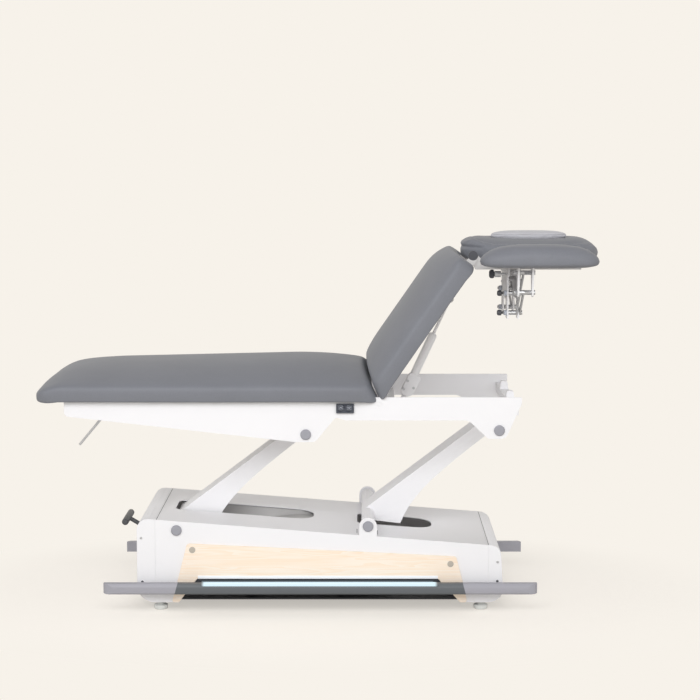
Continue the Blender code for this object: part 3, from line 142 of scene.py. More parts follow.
# Colours seen on the object, as sRGB hex
CREAM = "F7F2EA"
FLOOR_GREY = "C9C5BF"
POWDER_WHITE = "F1F0F2"
UPHOLSTERY_GREY = "7D7F86"
PLUG_GREY = "CBCACF"
MAPLE_PALE = "FBEEDF"
MAPLE_GRAIN = "F7D6B0"
CAP_GREY = "9B9BA3"
SLATE = "5F6367"
BAR_END_GREY = "A3A2AA"
PEDAL_GREY = "4D4E51"
PANEL_BLUE_BLACK = "3E424D"
GLOW_CYAN = "DDF3FB"
GLOW_STRIP = "CDEBF7"
GLOW_COVER = "D3EEF8"
FOOT_GREY = "DFE0DC"
ZINC_DARK = "BDBEC1"
ZINC_PALE = "D9DADC"
HOUSING_BLACK = "2A2B2E"
KNOB_BLACK = "4A4B51"
ICON_PALE = "C8CCD6"
# Painted shade of the channel above the strip lamps
SHADE_BLACK = "37393F"
# Painted shade under the base, behind the light line and in the open seams and slits
PAINTED_SHADE_GREY = "3C3D42"
# Painted shade inside the foot slot
TRAY_SHADE_GREY = "B4B2B1"
SILVER = "F1F0F1"
FRAME_GREY = "D6D4D4"
COLLAR_GREY = "B7BCC6"
NICKEL = "B9B1A6"
SCREW_BLACK = "55565B"
BOARD_PALE = "DCDAD8"


# Small helpers

def linear(hex_colour):
    """An sRGB hex value as the linear colour that Blender's shaders read."""
    out = []
    for i in (0, 2, 4):
        c = int(hex_colour[i:i + 2], 16) / 255
        out.append(c / 12.92 if c <= 0.04045 else ((c + 0.055) / 1.055) ** 2.4)
    return (*out, 1.0)


def add_node(tree, kind, values=None, links=None, **settings):
    """Adds one shader node, with its settings, its input values and what is linked to it."""
    node = tree.nodes.new(f"ShaderNode{kind}")
    for name, value in settings.items():
        setattr(node, name, value)
    for name, value in (values or {}).items():
        node.inputs[name].default_value = value
    for name, socket in (links or {}).items():
        tree.links.new(socket, node.inputs[name])
    return node


def new_material(name, roughness, ior=1.5, metallic=0.0):
    material = bpy.data.materials.new(name)
    material.use_nodes = True
    tree = material.node_tree
    shader = tree.nodes["Principled BSDF"]
    shader.inputs["Roughness"].default_value = roughness
    shader.inputs["IOR"].default_value = ior
    shader.inputs["Metallic"].default_value = metallic
    return material, tree, shader


def per_metre(size_mm):
    """Texture scale for a pattern of that many millimetres."""
    return 1000.0 / size_mm


def ramp(value, start, run):
    """0 up to the start, then rising to 1 over the run, and 1 beyond it."""
    return min(1.0, max(0.0, (value - start) / run))


def near_end(distance, run):
    """1 at an end, falling to 0 over the run from it."""
    return max(0.0, 1 - distance / run)


# Materials

def powder_coated_steel(name, hex_colour, pivot=None, pivot_radius=0.0):
    """Folded steel in satin polyester powder: faint orange peel, even tone, and a dark disc round the pivot
    when one is given.
    """
    material, tree, shader = new_material(name, 0.42)
    place = add_node(tree, "TexCoord").outputs["Object"]
    cloud = add_node(tree, "TexNoise", {"Scale": per_metre(160), "Detail": 3.0}, {"Vector": place})
    dull = [c * 0.97 for c in linear(hex_colour)[:3]] + [1.0]
    tone = add_node(tree, "Mix", {"A": dull, "B": linear(hex_colour)},
                    {"Factor": cloud.outputs["Fac"]}, data_type="RGBA")
    if pivot:
        flat = add_node(tree, "VectorMath", {1: (1.0, 0.0, 1.0)}, {0: place}, operation="MULTIPLY")
        away = add_node(tree, "VectorMath", {1: (pivot[0], 0.0, pivot[1])}, {0: flat.outputs["Vector"]},
                        operation="DISTANCE")
        near = add_node(tree, "MapRange", {"From Min": pivot_radius - 1 * MM, "From Max": pivot_radius},
                        {"Value": away.outputs["Value"]})
        tone = add_node(tree, "Mix", {"A": linear(KNOB_BLACK)},
                        {"Factor": near.outputs["Result"], "B": tone.outputs["Result"]}, data_type="RGBA")
    tree.links.new(tone.outputs["Result"], shader.inputs["Base Color"])
    # Real orange peel is about 1.5 mm across; drawn at 5 mm so that it shows.
    peel = add_node(tree, "TexNoise", {"Scale": per_metre(5), "Detail": 2.0}, {"Vector": place})
    bump = add_node(tree, "Bump", {"Strength": 0.05, "Distance": 0.4 * MM}, {"Height": peel.outputs["Fac"]})
    tree.links.new(bump.outputs["Normal"], shader.inputs["Normal"])
    gloss = add_node(tree, "MapRange", {"To Min": 0.38, "To Max": 0.48}, {"Value": peel.outputs["Fac"]})
    tree.links.new(gloss.outputs["Result"], shader.inputs["Roughness"])
    return material


def grained_upholstery(name, hex_colour, shade_line_z=None):
    """Coated upholstery fabric, embossed with a fine leather grain: soft sheen, slightly worn tone; where a
    height is given, a dark line of painted shade along it.
    """
    material, tree, shader = new_material(name, 0.55)
    place = add_node(tree, "TexCoord").outputs["Object"]
    cloud = add_node(tree, "TexNoise", {"Scale": per_metre(140), "Detail": 4.0, "Roughness": 0.6},
                     {"Vector": place})
    dark = [c * 0.90 for c in linear(hex_colour)[:3]] + [1.0]
    light = [c * 1.08 for c in linear(hex_colour)[:3]] + [1.0]
    # The grain is under 1 mm; drawn at 2.4 mm so that it shows in the picture.
    grain = add_node(tree, "TexVoronoi", {"Scale": per_metre(2.4), "Randomness": 1.0}, {"Vector": place},
                     feature="SMOOTH_F1")
    tone = add_node(tree, "Mix", {"A": dark, "B": light}, {"Factor": cloud.outputs["Fac"]},
                    data_type="RGBA")
    pores = add_node(tree, "MapRange", {"From Max": 0.8, "To Min": 1.03, "To Max": 0.93},
                     {"Value": grain.outputs["Distance"]})
    shade = add_node(tree, "Mix", {"Factor": 1.0},
                     {"A": tone.outputs["Result"], "B": pores.outputs["Result"]}, data_type="RGBA",
                     blend_type="MULTIPLY")
    # A dark line at the given height is painted shade, standing for the shadow inside the rim of the face
    # hole.
    if shade_line_z:
        height = add_node(tree, "SeparateXYZ", None, {"Vector": place})
        off = add_node(tree, "Math", {1: shade_line_z}, {0: height.outputs["Z"]}, operation="SUBTRACT")
        reach = add_node(tree, "Math", None, {0: off.outputs["Value"]}, operation="ABSOLUTE")
        shade_line = add_node(tree, "MapRange", {"From Max": 1.4 * MM, "To Min": 0.45, "To Max": 1.0},
                        {"Value": reach.outputs["Value"]}, interpolation_type="SMOOTHSTEP")
        shade = add_node(tree, "Mix", {"Factor": 1.0},
                         {"A": shade.outputs["Result"], "B": shade_line.outputs["Result"]}, data_type="RGBA",
                         blend_type="MULTIPLY")
    tree.links.new(shade.outputs["Result"], shader.inputs["Base Color"])
    bump = add_node(tree, "Bump", {"Strength": 0.16, "Distance": 0.5 * MM},
                    {"Height": grain.outputs["Distance"]}, invert=True)
    tree.links.new(bump.outputs["Normal"], shader.inputs["Normal"])
    shader.inputs["Specular IOR Level"].default_value = 0.32
    shader.inputs["Sheen Weight"].default_value = 0.06
    shader.inputs["Sheen Roughness"].default_value = 0.5
    return material


def maple_veneer():
    """Clear-lacquered maple ply: pale cream with soft flame grain along the panel."""
    material, tree, shader = new_material("lacquered_maple", 0.42)
    place = add_node(tree, "TexCoord").outputs["Object"]
    along = add_node(tree, "Mapping", {"Scale": (0.45, 1.0, 9.0)}, {"Vector": place})
    flame = add_node(tree, "TexNoise", {"Scale": per_metre(240), "Detail": 2.0, "Distortion": 0.6},
                     {"Vector": along.outputs["Vector"]})
    rings = add_node(tree, "Math", {1: 9.0}, {0: flame.outputs["Fac"]}, operation="MULTIPLY")
    band = add_node(tree, "Math", None, {0: rings.outputs["Value"]}, operation="FRACT")
    soft_band = add_node(tree, "MapRange", {"To Min": 0.08, "To Max": 0.75},
                         {"Value": band.outputs["Value"]}, interpolation_type="SMOOTHSTEP")
    # Pore streaks are 0.3 mm wide; drawn at 3 mm so that they show.
    fine = add_node(tree, "Mapping", {"Scale": (0.22, 1.0, 20.0)}, {"Vector": place})
    streak = add_node(tree, "TexNoise", {"Scale": per_metre(60), "Detail": 4.0, "Roughness": 0.7},
                      {"Vector": fine.outputs["Vector"]})
    weight = add_node(tree, "Math", None, {0: soft_band.outputs["Result"], 1: streak.outputs["Fac"]},
                      operation="MULTIPLY")
    tone = add_node(tree, "Mix", {"A": linear(MAPLE_PALE), "B": linear(MAPLE_GRAIN)},
                    {"Factor": weight.outputs["Value"]}, data_type="RGBA")
    tree.links.new(tone.outputs["Result"], shader.inputs["Base Color"])
    bump = add_node(tree, "Bump", {"Strength": 0.06, "Distance": 0.2 * MM},
                    {"Height": streak.outputs["Fac"]})
    tree.links.new(bump.outputs["Normal"], shader.inputs["Normal"])
    return material


def moulded_plastic(name, hex_colour, roughness):
    """Moulded ABS with a fine spark-eroded texture."""
    material, tree, shader = new_material(name, roughness, 1.53)
    place = add_node(tree, "TexCoord").outputs["Object"]
    # The mould texture is about 0.5 mm; drawn at 2 mm so that it shows.
    spark = add_node(tree, "TexNoise", {"Scale": per_metre(2), "Detail": 3.0}, {"Vector": place})
    dark = [c * 0.94 for c in linear(hex_colour)[:3]] + [1.0]
    light = [c * 1.06 for c in linear(hex_colour)[:3]] + [1.0]
    tone = add_node(tree, "Mix", {"A": dark, "B": light}, {"Factor": spark.outputs["Fac"]},
                    data_type="RGBA")
    tree.links.new(tone.outputs["Result"], shader.inputs["Base Color"])
    bump = add_node(tree, "Bump", {"Strength": 0.08, "Distance": 0.2 * MM},
                    {"Height": spark.outputs["Fac"]})
    tree.links.new(bump.outputs["Normal"], shader.inputs["Normal"])
    return material


def two_tone_bar(middle_x, half_dark, slant):
    """Extruded switch bar in slate plastic, with pale grey ends cut on a slant."""
    material, tree, shader = new_material("two_tone_bar", 0.48, 1.53)
    place = add_node(tree, "TexCoord").outputs["Object"]
    split = add_node(tree, "SeparateXYZ", None, {"Vector": place})
    from_middle = add_node(tree, "Math", {1: middle_x}, {0: split.outputs["X"]}, operation="SUBTRACT")
    reach = add_node(tree, "Math", None, {0: from_middle.outputs["Value"]}, operation="ABSOLUTE")
    lean = add_node(tree, "Math", {1: slant}, {0: split.outputs["Z"]}, operation="MULTIPLY")
    edge = add_node(tree, "Math", None, {0: reach.outputs["Value"], 1: lean.outputs["Value"]},
                    operation="ADD")
    ends = add_node(tree, "MapRange", {"From Min": half_dark - 0.0005, "From Max": half_dark + 0.0005},
                    {"Value": edge.outputs["Value"]})
    grit = add_node(tree, "TexNoise", {"Scale": per_metre(3), "Detail": 3.0}, {"Vector": place})
    tone = add_node(tree, "Mix", {"A": linear(SLATE), "B": linear(BAR_END_GREY)},
                    {"Factor": ends.outputs["Result"]}, data_type="RGBA")
    tree.links.new(tone.outputs["Result"], shader.inputs["Base Color"])
    bump = add_node(tree, "Bump", {"Strength": 0.05, "Distance": 0.2 * MM}, {"Height": grit.outputs["Fac"]})
    tree.links.new(bump.outputs["Normal"], shader.inputs["Normal"])
    return material


def zinc_steel():
    """Zinc-plated and ground steel: pale, half bright, with drawn streaks."""
    material, tree, shader = new_material("zinc_plated_steel", 0.34, metallic=1.0)
    place = add_node(tree, "TexCoord").outputs["Object"]
    drawn = add_node(tree, "Mapping", {"Scale": (1.0, 1.0, 0.08)}, {"Vector": place})
    streak = add_node(tree, "TexNoise", {"Scale": per_metre(3), "Detail": 3.0},
                      {"Vector": drawn.outputs["Vector"]})
    tone = add_node(tree, "Mix", {"A": linear(ZINC_DARK), "B": linear(ZINC_PALE)},
                    {"Factor": streak.outputs["Fac"]}, data_type="RGBA")
    tree.links.new(tone.outputs["Result"], shader.inputs["Base Color"])
    gloss = add_node(tree, "MapRange", {"To Min": 0.28, "To Max": 0.42}, {"Value": streak.outputs["Fac"]})
    tree.links.new(gloss.outputs["Result"], shader.inputs["Roughness"])
    return material


def glowing_diffuser(low, high):
    """Lit strip: opal acrylic over cool white lamps low down; above them it is near black, painted shade of
    the channel.
    """
    material, tree, shader = new_material("lit_diffuser", 0.35, 1.49)
    place = add_node(tree, "TexCoord").outputs["Object"]
    wave = add_node(tree, "TexNoise", {"Scale": per_metre(30), "Detail": 1.0}, {"Vector": place})
    tone = add_node(tree, "Mix", {"A": linear(GLOW_STRIP), "B": linear(GLOW_CYAN)},
                    {"Factor": wave.outputs["Fac"]}, data_type="RGBA")
    height = add_node(tree, "SeparateXYZ", None, {"Vector": place})
    lit = add_node(tree, "MapRange", {"From Min": low, "From Max": high, "To Min": 1.0, "To Max": 0.0},
                   {"Value": height.outputs["Z"]}, interpolation_type="SMOOTHSTEP")
    # Near-black base colour: painted shade above the lamps.
    shader.inputs["Base Color"].default_value = linear(SHADE_BLACK)
    tree.links.new(tone.outputs["Result"], shader.inputs["Emission Color"])
    power = add_node(tree, "Math", {1: 0.20}, {0: lit.outputs["Result"]}, operation="MULTIPLY")
    tree.links.new(power.outputs["Value"], shader.inputs["Emission Strength"])
    return material


def opal_light_cover(x0, x1):
    """Opal cover of the light line in the bar: cool white, fading into the slate at both ends."""
    material, tree, shader = new_material("opal_light_cover", 0.4, 1.49)
    place = add_node(tree, "TexCoord").outputs["Object"]
    along = add_node(tree, "SeparateXYZ", None, {"Vector": place})
    foot = add_node(tree, "MapRange", {"From Min": x0, "From Max": x0 + LIGHT_FADE},
                    {"Value": along.outputs["X"]}, interpolation_type="SMOOTHSTEP")
    head = add_node(tree, "MapRange", {"From Min": x1, "From Max": x1 - LIGHT_FADE},
                    {"Value": along.outputs["X"]}, interpolation_type="SMOOTHSTEP")
    lit = add_node(tree, "Math", None, {0: foot.outputs["Result"], 1: head.outputs["Result"]},
                   operation="MULTIPLY")
    # Lamps sit 8 mm apart behind the cover and show as a faint ripple.
    wave = add_node(tree, "TexNoise", {"Scale": per_metre(8), "Detail": 1.0}, {"Vector": place})
    tone = add_node(tree, "Mix", {"A": linear(GLOW_COVER), "B": linear(GLOW_CYAN)},
                    {"Factor": wave.outputs["Fac"]}, data_type="RGBA")
    shader.inputs["Base Color"].default_value = linear(SLATE)
    tree.links.new(tone.outputs["Result"], shader.inputs["Emission Color"])
    power = add_node(tree, "Math", {1: 0.88}, {0: lit.outputs["Value"]}, operation="MULTIPLY")
    tree.links.new(power.outputs["Value"], shader.inputs["Emission Strength"])
    return material


# Dressing the CAD solids

def plain_copy(node):
    """The node's solid as a merged bmesh, ready to be worked on."""
    bm = bmesh.new()
    bm.from_mesh(frame["nodes"][node].data)
    bmesh.ops.remove_doubles(bm, verts=bm.verts[:], dist=1e-5)
    return bm


def object_of(bm, name, material):
    mesh = bpy.data.meshes.new(name)
    bm.to_mesh(mesh)
    bm.free()
    obj = bpy.data.objects.new(name, mesh)
    bpy.context.collection.objects.link(obj)
    mesh.materials.clear()
    mesh.materials.append(material)
    return obj


def body_of_node(node):
    return next(body for body, nodes in frame["record"]["behaviour"]["bodies"].items() if node in nodes)


def reshape(bm, node):
    """Gives a few pieces the form that shows in the picture where it is finer than the solid's."""
    low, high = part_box(node)
    if node == "foot_end_cover":
        round_corner(bm, (low[0], low[2]), FOOT_CORNER, -1)
    if node == "head_end_cover":
        round_corner(bm, (high[0], low[2]), HEAD_CORNER, 1)
    if node == "control_panel":
        for v in bm.verts:
            v.co.z -= PANEL_DROP if v.co.z < (low[2] + high[2]) / 2 else 0.0
    if node == "base_pan":
        draw_in(bm, PAN_STRETCHES, PAN_SHARE)
        for v in bm.verts:
            v.co.x = min(max(v.co.x, PAN_ENDS[0]), PAN_ENDS[1])


def dressed(node, material, edge_mm, smooth_deg=34, seams=()):
    """Stands for a rigid node: its own shape with rounded edges and smooth rounds."""
    bm = plain_copy(node)
    bmesh.ops.dissolve_limit(bm, angle_limit=math.radians(0.5), verts=bm.verts[:], edges=bm.edges[:])
    reshape(bm, node)
    for face in bm.faces:
        face.material_index = 0
        face.smooth = True
    weight = bm.edges.layers.float.new("bevel_weight_edge")
    for edge in bm.edges:
        in_seam = any(all(abs(v.co.x - x) < 0.5 * MM for v in edge.verts) for x in seams)
        edge[weight] = float(edge.calc_face_angle(0.0) > math.radians(smooth_deg) and not in_seam)
    obj = object_of(bm, f"{node}_finish", material)
    obj.data.set_sharp_from_angle(angle=math.radians(smooth_deg))
    if edge_mm:
        bevel = obj.modifiers.new("rounded_edges", "BEVEL")
        bevel.width = edge_mm * MM
        bevel.segments = 2
        bevel.limit_method = "WEIGHT"
        bevel.harden_normals = True
        bevel.use_clamp_overlap = True
    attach(obj, body_of_node(node))
    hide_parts(node)
    return obj


def round_corner(bm, corner, radius, outward):
    """Cuts a rounded lower corner into a cover, seen from the side, by planes round an arc."""
    centre = Vector((corner[0] - outward * radius, 0, corner[1] + radius))
    for step in range(1, 6):
        turn = math.radians(15 * step)
        normal = Vector((outward * math.cos(turn), 0, -math.sin(turn)))
        everything = bm.verts[:] + bm.edges[:] + bm.faces[:]
        bmesh.ops.bisect_plane(bm, geom=everything, plane_co=centre + normal * radius, plane_no=normal,
                               clear_outer=True, dist=1e-6)
        bmesh.ops.holes_fill(bm, edges=[e for e in bm.edges if e.is_boundary])


def draw_in(bm, stretches, share):
    """Narrows a plate over one stretch of its length."""
    for x in stretches:
        everything = bm.verts[:] + bm.edges[:] + bm.faces[:]
        bmesh.ops.bisect_plane(bm, geom=everything, plane_co=(x, 0, 0), plane_no=(1, 0, 0))
    for v in bm.verts:
        if stretches[1] - 1e-5 < v.co.x < stretches[2] + 1e-5:
            v.co.y *= share


def settle(obj):
    """Applies the modifiers that are on the piece."""
    graph = bpy.context.evaluated_depsgraph_get()
    mesh = bpy.data.meshes.new_from_object(obj.evaluated_get(graph))
    obj.modifiers.clear()
    obj.data = mesh


def inflate(obj, pressure, cap_mm, steps=16):
    """Blows the pad up as cloth, then holds every point within the cap of where it began."""
    start = [v.co.copy() for v in obj.data.vertices]
    cloth = obj.modifiers.new("cover", "CLOTH")
    cloth.settings.use_pressure = True
    cloth.settings.uniform_pressure_force = pressure
    cloth.settings.effector_weights.gravity = 0.0
    cloth.settings.tension_stiffness = 25.0
    cloth.settings.compression_stiffness = 25.0
    cloth.settings.quality = 4
    cloth.point_cache.frame_end = steps
    for i in range(1, steps + 1):
        bpy.context.scene.frame_set(i)
    settle(obj)
    bpy.context.scene.frame_set(1)
    cap = cap_mm * MM
    for v, was in zip(obj.data.vertices, start):
        move = v.co - was
        if move.length > cap:
            v.co = was + move * (cap / move.length)


def smoothed(bm, verts, rounds):
    axes = {"use_axis_x": True, "use_axis_y": True, "use_axis_z": True}
    for _ in range(rounds):
        bmesh.ops.smooth_vert(bm, verts=verts, factor=0.5, **axes)


def cushion_blank(cells):
    """A cube cut into even cells, whose points run from -1 to 1 each way."""
    bm = bmesh.new()
    bmesh.ops.create_cube(bm, size=2.0)
    for axis, count in enumerate(cells):
        along = [e for e in bm.edges if abs(e.verts[0].co[axis] - e.verts[1].co[axis]) > 1.5]
        bmesh.ops.subdivide_edges(bm, edges=along, cuts=count - 1, use_grid_fill=True)
    return bm


def rounded_plan(a, b, half_x, half_y, corner):
    """A point of the unit square, drawn out to a rectangle with round corners."""
    reach = max(abs(a), abs(b))
    if reach < 1e-9:
        return 0.0, 0.0
    x, y = a / reach * half_x, b / reach * half_y
    core_x, core_y = half_x - corner, half_y - corner
    over_x, over_y = abs(x) - core_x, abs(y) - core_y
    if over_x > 0 and over_y > 0:
        draw = corner / math.hypot(over_x, over_y)
        x = math.copysign(core_x + over_x * draw, x)
        y = math.copysign(core_y + over_y * draw, y)
    return x * reach, y * reach


def crowned(y, side, crown):
    """Height of a pad's upper face: an even side, then a full crown across the width."""
    return side + crown * (1 - abs(y / PAD_HALF_WIDTH) ** CROWN_POWER)


def tucked(y, level):
    """Draws a pad's sides in towards its bottom, so that they stand out round."""
    return y * (1 - PAD_TUCK * (1 - level) ** 2 / PAD_HALF_WIDTH)


def hollow_half(from_end):
    """Half the width of a pad's hollow, which narrows by the pad's ends and leaves their corners full."""
    return PAD_HALF_WIDTH - (CORNER_RIM if from_end < CORNER_RUN else SIDE_RIM)


def filled(y, level, height, inside):
    """Height of a point in a pad that hangs over the frame's sides and is hollow between them."""
    rise = PAD_HOLLOW if abs(y) < inside else 0.0
    return rise + level * (height - rise)


def seat_form(a, b, c):
    """The seat: rises from a low, rounded foot end, and leans back at the end by the backrest."""
    half = (SEAT_HEAD_X - SEAT_FOOT_X) / 2
    level = (c + 1) / 2
    x, y = rounded_plan(a, b, half, PAD_HALF_WIDTH, SEAT_CORNER)
    along, left = half + x, half - x
    full = SEAT_NOSE + SEAT_RISE * (1 - near_end(along, SEAT_RISE_RUN) ** 3.4)
    full += SEAT_SHOULDER * ramp(along, 0.12, 0.10)
    full += SEAT_SWELL * ramp(along, SEAT_RISE_RUN, 0.62)
    full -= SEAT_DIP * near_end(left, 0.30) ** 2
    side = SEAT_SIDE * min(1.0, 0.55 + 0.45 * along / 0.06)
    inside = hollow_half(left) if along > SEAT_END_SKIRT else 0.0
    high = filled(tucked(y, level), level, crowned(y, side, full - side), inside)
    lean = SEAT_LEAN * high * near_end(left, 0.20)
    y = tucked(y, level)
    return Vector((SEAT_FOOT_X + half + x - lean, y, SEAT_BASE_Z + high))


def back_form(a, b, c):
    """The backrest pad, which takes in its board, leaning away from the seat at its lower end."""
    half = BACK_PAD_LENGTH / 2
    level = (c + 1) / 2
    x, y = rounded_plan(a, b, half, PAD_HALF_WIDTH, BACK_CORNER)
    along, left = half + x, half - x
    full = BACK_DEPTH - BACK_LOWER_DIP * near_end(along, 0.14) ** 2
    full -= BACK_UPPER_DIP * near_end(left, 0.09) ** 2
    inside = hollow_half(min(along, left))
    high = filled(tucked(y, level), level, crowned(y, BACK_SIDE, full - BACK_SIDE), inside)
    lean = BACK_LEAN * high * near_end(along, 0.18)
    y = tucked(y, level)
    tilt = math.radians(BACK_TILT)
    up = Vector((math.cos(tilt), 0, math.sin(tilt)))
    out = Vector((-up.z, 0, up.x))
    hinge = Vector((BACK_HINGE[0], y, BACK_HINGE[1]))
    return hinge + up * (BACK_FROM_HINGE + half + x + lean) + out * (high - BACK_BEHIND)


def round_head_end(bm):
    """Shapes the head pad: bowed and rolled over by the backrest, low at the far end, crowned across."""
    for v in bm.verts:
        pull = ramp(v.co.x, 0.56, -0.10)
        v.co.x += pull * (HEAD_BOW * (abs(v.co.y) / HEAD_HALF_WIDTH) ** 2.5 - 5 * MM)
        over = max(0.0, (0.50 - v.co.x) / 0.055)
        beyond = max(0.0, (v.co.x - 0.80) / 0.08)
        v.co.z = min(v.co.z, HEAD_TOP_Z - HEAD_ROLL * over ** 2 - HEAD_END_DROP * beyond ** 2)
        upper = ramp(v.co.z, 1.13, 0.04)
        v.co.z -= HEAD_CROWN * upper * min(1.0, abs(v.co.y) / 0.14) ** 2


def sew_crease(obj, height, x_end, depth_mm, half_mm):
    """Presses a sewn crease round the pad's end."""
    bm = bmesh.new()
    bm.from_mesh(obj.data)
    bm.normal_update()
    for v in bm.verts:
        off = abs(v.co.z - height) / (half_mm * MM)
        if off < 1 and v.co.x < x_end and abs(v.normal.z) < 0.8:
            v.co -= v.normal * (depth_mm * MM * (1 - off ** 2) * min(1.0, (x_end - v.co.x) / 0.02))
    bm.to_mesh(obj.data)
    bm.free()


def sewn(obj, node, material, pressure, cap_mm, fill):
    """Finishes an upholstered piece: blown up as cloth, the head pad creased, subdivided and hung on its
    body.
    """
    inflate(obj, pressure, cap_mm)
    if node == "head_cushion":
        sew_crease(obj, HEAD_CREASE_Z, HEAD_CREASE_END, 4.0, 6.0)
    obj.data.materials.clear()
    obj.data.materials.append(material)
    for face in obj.data.polygons:
        face.material_index = 0
        face.use_smooth = True
    fine = obj.modifiers.new("fine_skin", "SUBSURF")
    fine.levels = 1
    fine.render_levels = 1
    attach(obj, body_of_node(node))
    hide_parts(node)
    return obj


def pad_name(node):
    return node.replace("cushion", "upholstery") + "_pad"


def formed(node, form, cells, rounds, *finish):
    """Stands for a large pad: a blank drawn to the pad's form, then softened and sewn."""
    bm = cushion_blank(cells)
    free = [v for v in bm.verts if v.co.z > -0.99 or abs(v.co.y) < 0.99 or abs(v.co.x) > 0.97]
    for v in bm.verts:
        v.co = form(*v.co)
    smoothed(bm, free, rounds)
    bmesh.ops.recalc_face_normals(bm, faces=bm.faces[:])
    return sewn(object_of(bm, pad_name(node), finish[0]), node, *finish)


def padded(node, voxel_mm, rounds, *finish):
    """Stands for a small pad: its solid remeshed, softened and sewn."""
    obj = object_of(plain_copy(node), pad_name(node), finish[0])
    remesh = obj.modifiers.new("even_skin", "REMESH")
    remesh.mode = "VOXEL"
    remesh.voxel_size = voxel_mm * MM
    settle(obj)
    bm = bmesh.new()
    bm.from_mesh(obj.data)
    if node == "head_cushion":
        round_head_end(bm)
    smoothed(bm, bm.verts[:], rounds)
    bm.to_mesh(obj.data)
    bm.free()
    return sewn(obj, node, *finish)


# Small fittings

def base_top_at(x):
    """Height of the base's sloping top."""
    low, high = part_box("head_end_cover")
    return high[2] + BASE_SLOPE * (low[0] - x)


def added(bm, name, material, body, smooth_deg=34):
    """A piece of its own that rides on a body, with smooth rounds."""
    for face in bm.faces:
        face.smooth = True
    obj = object_of(bm, name, material)
    obj.data.set_sharp_from_angle(angle=math.radians(smooth_deg))
    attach(obj, body)
    return obj


def set_in_place(bm, place, direction):
    """Turns a shape made along +Z to face the direction, and moves it to its place."""
    turn = Vector((0, 0, 1)).rotation_difference(Vector(direction)).to_matrix().to_4x4()
    bmesh.ops.transform(bm, matrix=Matrix.Translation(place) @ turn, verts=bm.verts[:])


def screw_head(place, direction, radius, height, recess):
    """Low round head with a rounded rim and a sunk drive."""
    bm = bmesh.new()
    bmesh.ops.create_cone(bm, cap_ends=True, segments=32, radius1=radius, radius2=radius, depth=height)
    rim = [e for e in bm.edges if all(v.co.z > 0 for v in e.verts)]
    bmesh.ops.bevel(bm, geom=rim, offset=height * 0.4, segments=3, profile=0.5, affect="EDGES", material=-1)
    top = max(bm.faces, key=lambda f: f.calc_center_median().z)
    bmesh.ops.inset_region(bm, faces=[top], thickness=radius * recess, depth=0)
    bmesh.ops.inset_region(bm, faces=[top], thickness=radius * 0.06, depth=-height * 0.5)
    set_in_place(bm, place, direction)
    return bm


def round_knob(place, direction, radius, length):
    """Domed clamp knob on a short neck, made by turning its profile."""
    bm = bmesh.new()
    neck = [(0.0, 0.0), (0.45, 0.0), (0.45, 0.30)]
    dome = [(0.92, 0.36), (1.0, 0.50), (1.0, 0.72), (0.88, 0.90), (0.55, 0.99), (0.0, 1.0)]
    points = [bm.verts.new((radius * r, 0, length * h)) for r, h in neck + dome]
    profile = [bm.edges.new(pair) for pair in zip(points, points[1:])]
    bmesh.ops.spin(bm, geom=profile, cent=(0, 0, 0), axis=(0, 0, 1), angle=math.tau, steps=28,
                   use_merge=True)
    bmesh.ops.remove_doubles(bm, verts=bm.verts[:], dist=1e-6)
    bmesh.ops.recalc_face_normals(bm, faces=bm.faces[:])
    set_in_place(bm, place, direction)
    return bm


def bar_of(x0, x1, y0, y1, z0, z1, edge):
    """Straight bar between two corners with rounded edges."""
    bm = bmesh.new()
    size = Vector((x1 - x0, y1 - y0, z1 - z0))
    middle = Vector((x0 + x1, y0 + y1, z0 + z1)) / 2
    bmesh.ops.create_cube(bm, size=1.0, matrix=Matrix.Translation(middle) @ Matrix.Diagonal((*size, 1.0)))
    bmesh.ops.bevel(bm, geom=bm.edges[:], offset=edge, segments=2, profile=0.5, affect="EDGES", material=-1)
    return bm


def plate_of(outline, y0, y1):
    """Flat plate of an outline in X and Z, between two depths."""
    bm = bmesh.new()
    face = bm.faces.new([bm.verts.new((x, y0, z)) for x, z in outline])
    out = bmesh.ops.extrude_face_region(bm, geom=[face])
    moved = [v for v in out["geom"] if isinstance(v, bmesh.types.BMVert)]
    bmesh.ops.translate(bm, verts=moved, vec=(0, y1 - y0, 0))
    bmesh.ops.recalc_face_normals(bm, faces=bm.faces[:])
    return bm


def along_tube(eye, upward, along, across):
    """A point beside a leaning tube, as X and Z."""
    place = eye + upward * along + Vector((-upward.z, 0, upward.x)) * across
    return place.x, place.z


def clevis(eye, upward):
    """Folded clevis round the lower end of a tube, wide in the middle and drawn in at both ends."""
    outline = [(30, -10), (42, -20), (98, -22), (108, -15), (108, 15), (98, 22), (42, 20), (30, 10)]
    places = [along_tube(eye, upward, a * MM, b * MM) for a, b in outline]
    bm = plate_of(places, -CLEVIS_HALF_WIDTH, CLEVIS_HALF_WIDTH)
    bmesh.ops.bevel(bm, geom=bm.edges[:], offset=2 * MM, segments=2, profile=0.5, affect="EDGES",
                    material=-1)
    return bm


def chevron(middle, size, tip):
    """Flat arrow head of two strokes, facing -Y, with its point up or down."""
    x, y, z = middle
    stroke = size * 0.2
    below = [(-size, -stroke), (0, size - 2 * stroke), (size, -stroke)]
    above = [(size, stroke), (0, size), (-size, stroke)]
    outline = [(x + a, z + tip * (b - size * 0.4)) for a, b in below + above]
    return plate_of(outline, y, y - SIGN_DEPTH)


def sign_frame(middle, half):
    """Thin square outline, facing -Y."""
    bm = bmesh.new()
    bmesh.ops.create_grid(bm, x_segments=1, y_segments=1, size=half)
    inner = bm.faces[:]
    bmesh.ops.inset_region(bm, faces=inner, thickness=half * 0.13, depth=0, use_boundary=True)
    bmesh.ops.delete(bm, geom=inner, context="FACES")
    bmesh.ops.solidify(bm, geom=bm.faces[:], thickness=SIGN_DEPTH)
    bmesh.ops.recalc_face_normals(bm, faces=bm.faces[:])
    set_in_place(bm, middle, (0, -1, 0))
    return bm


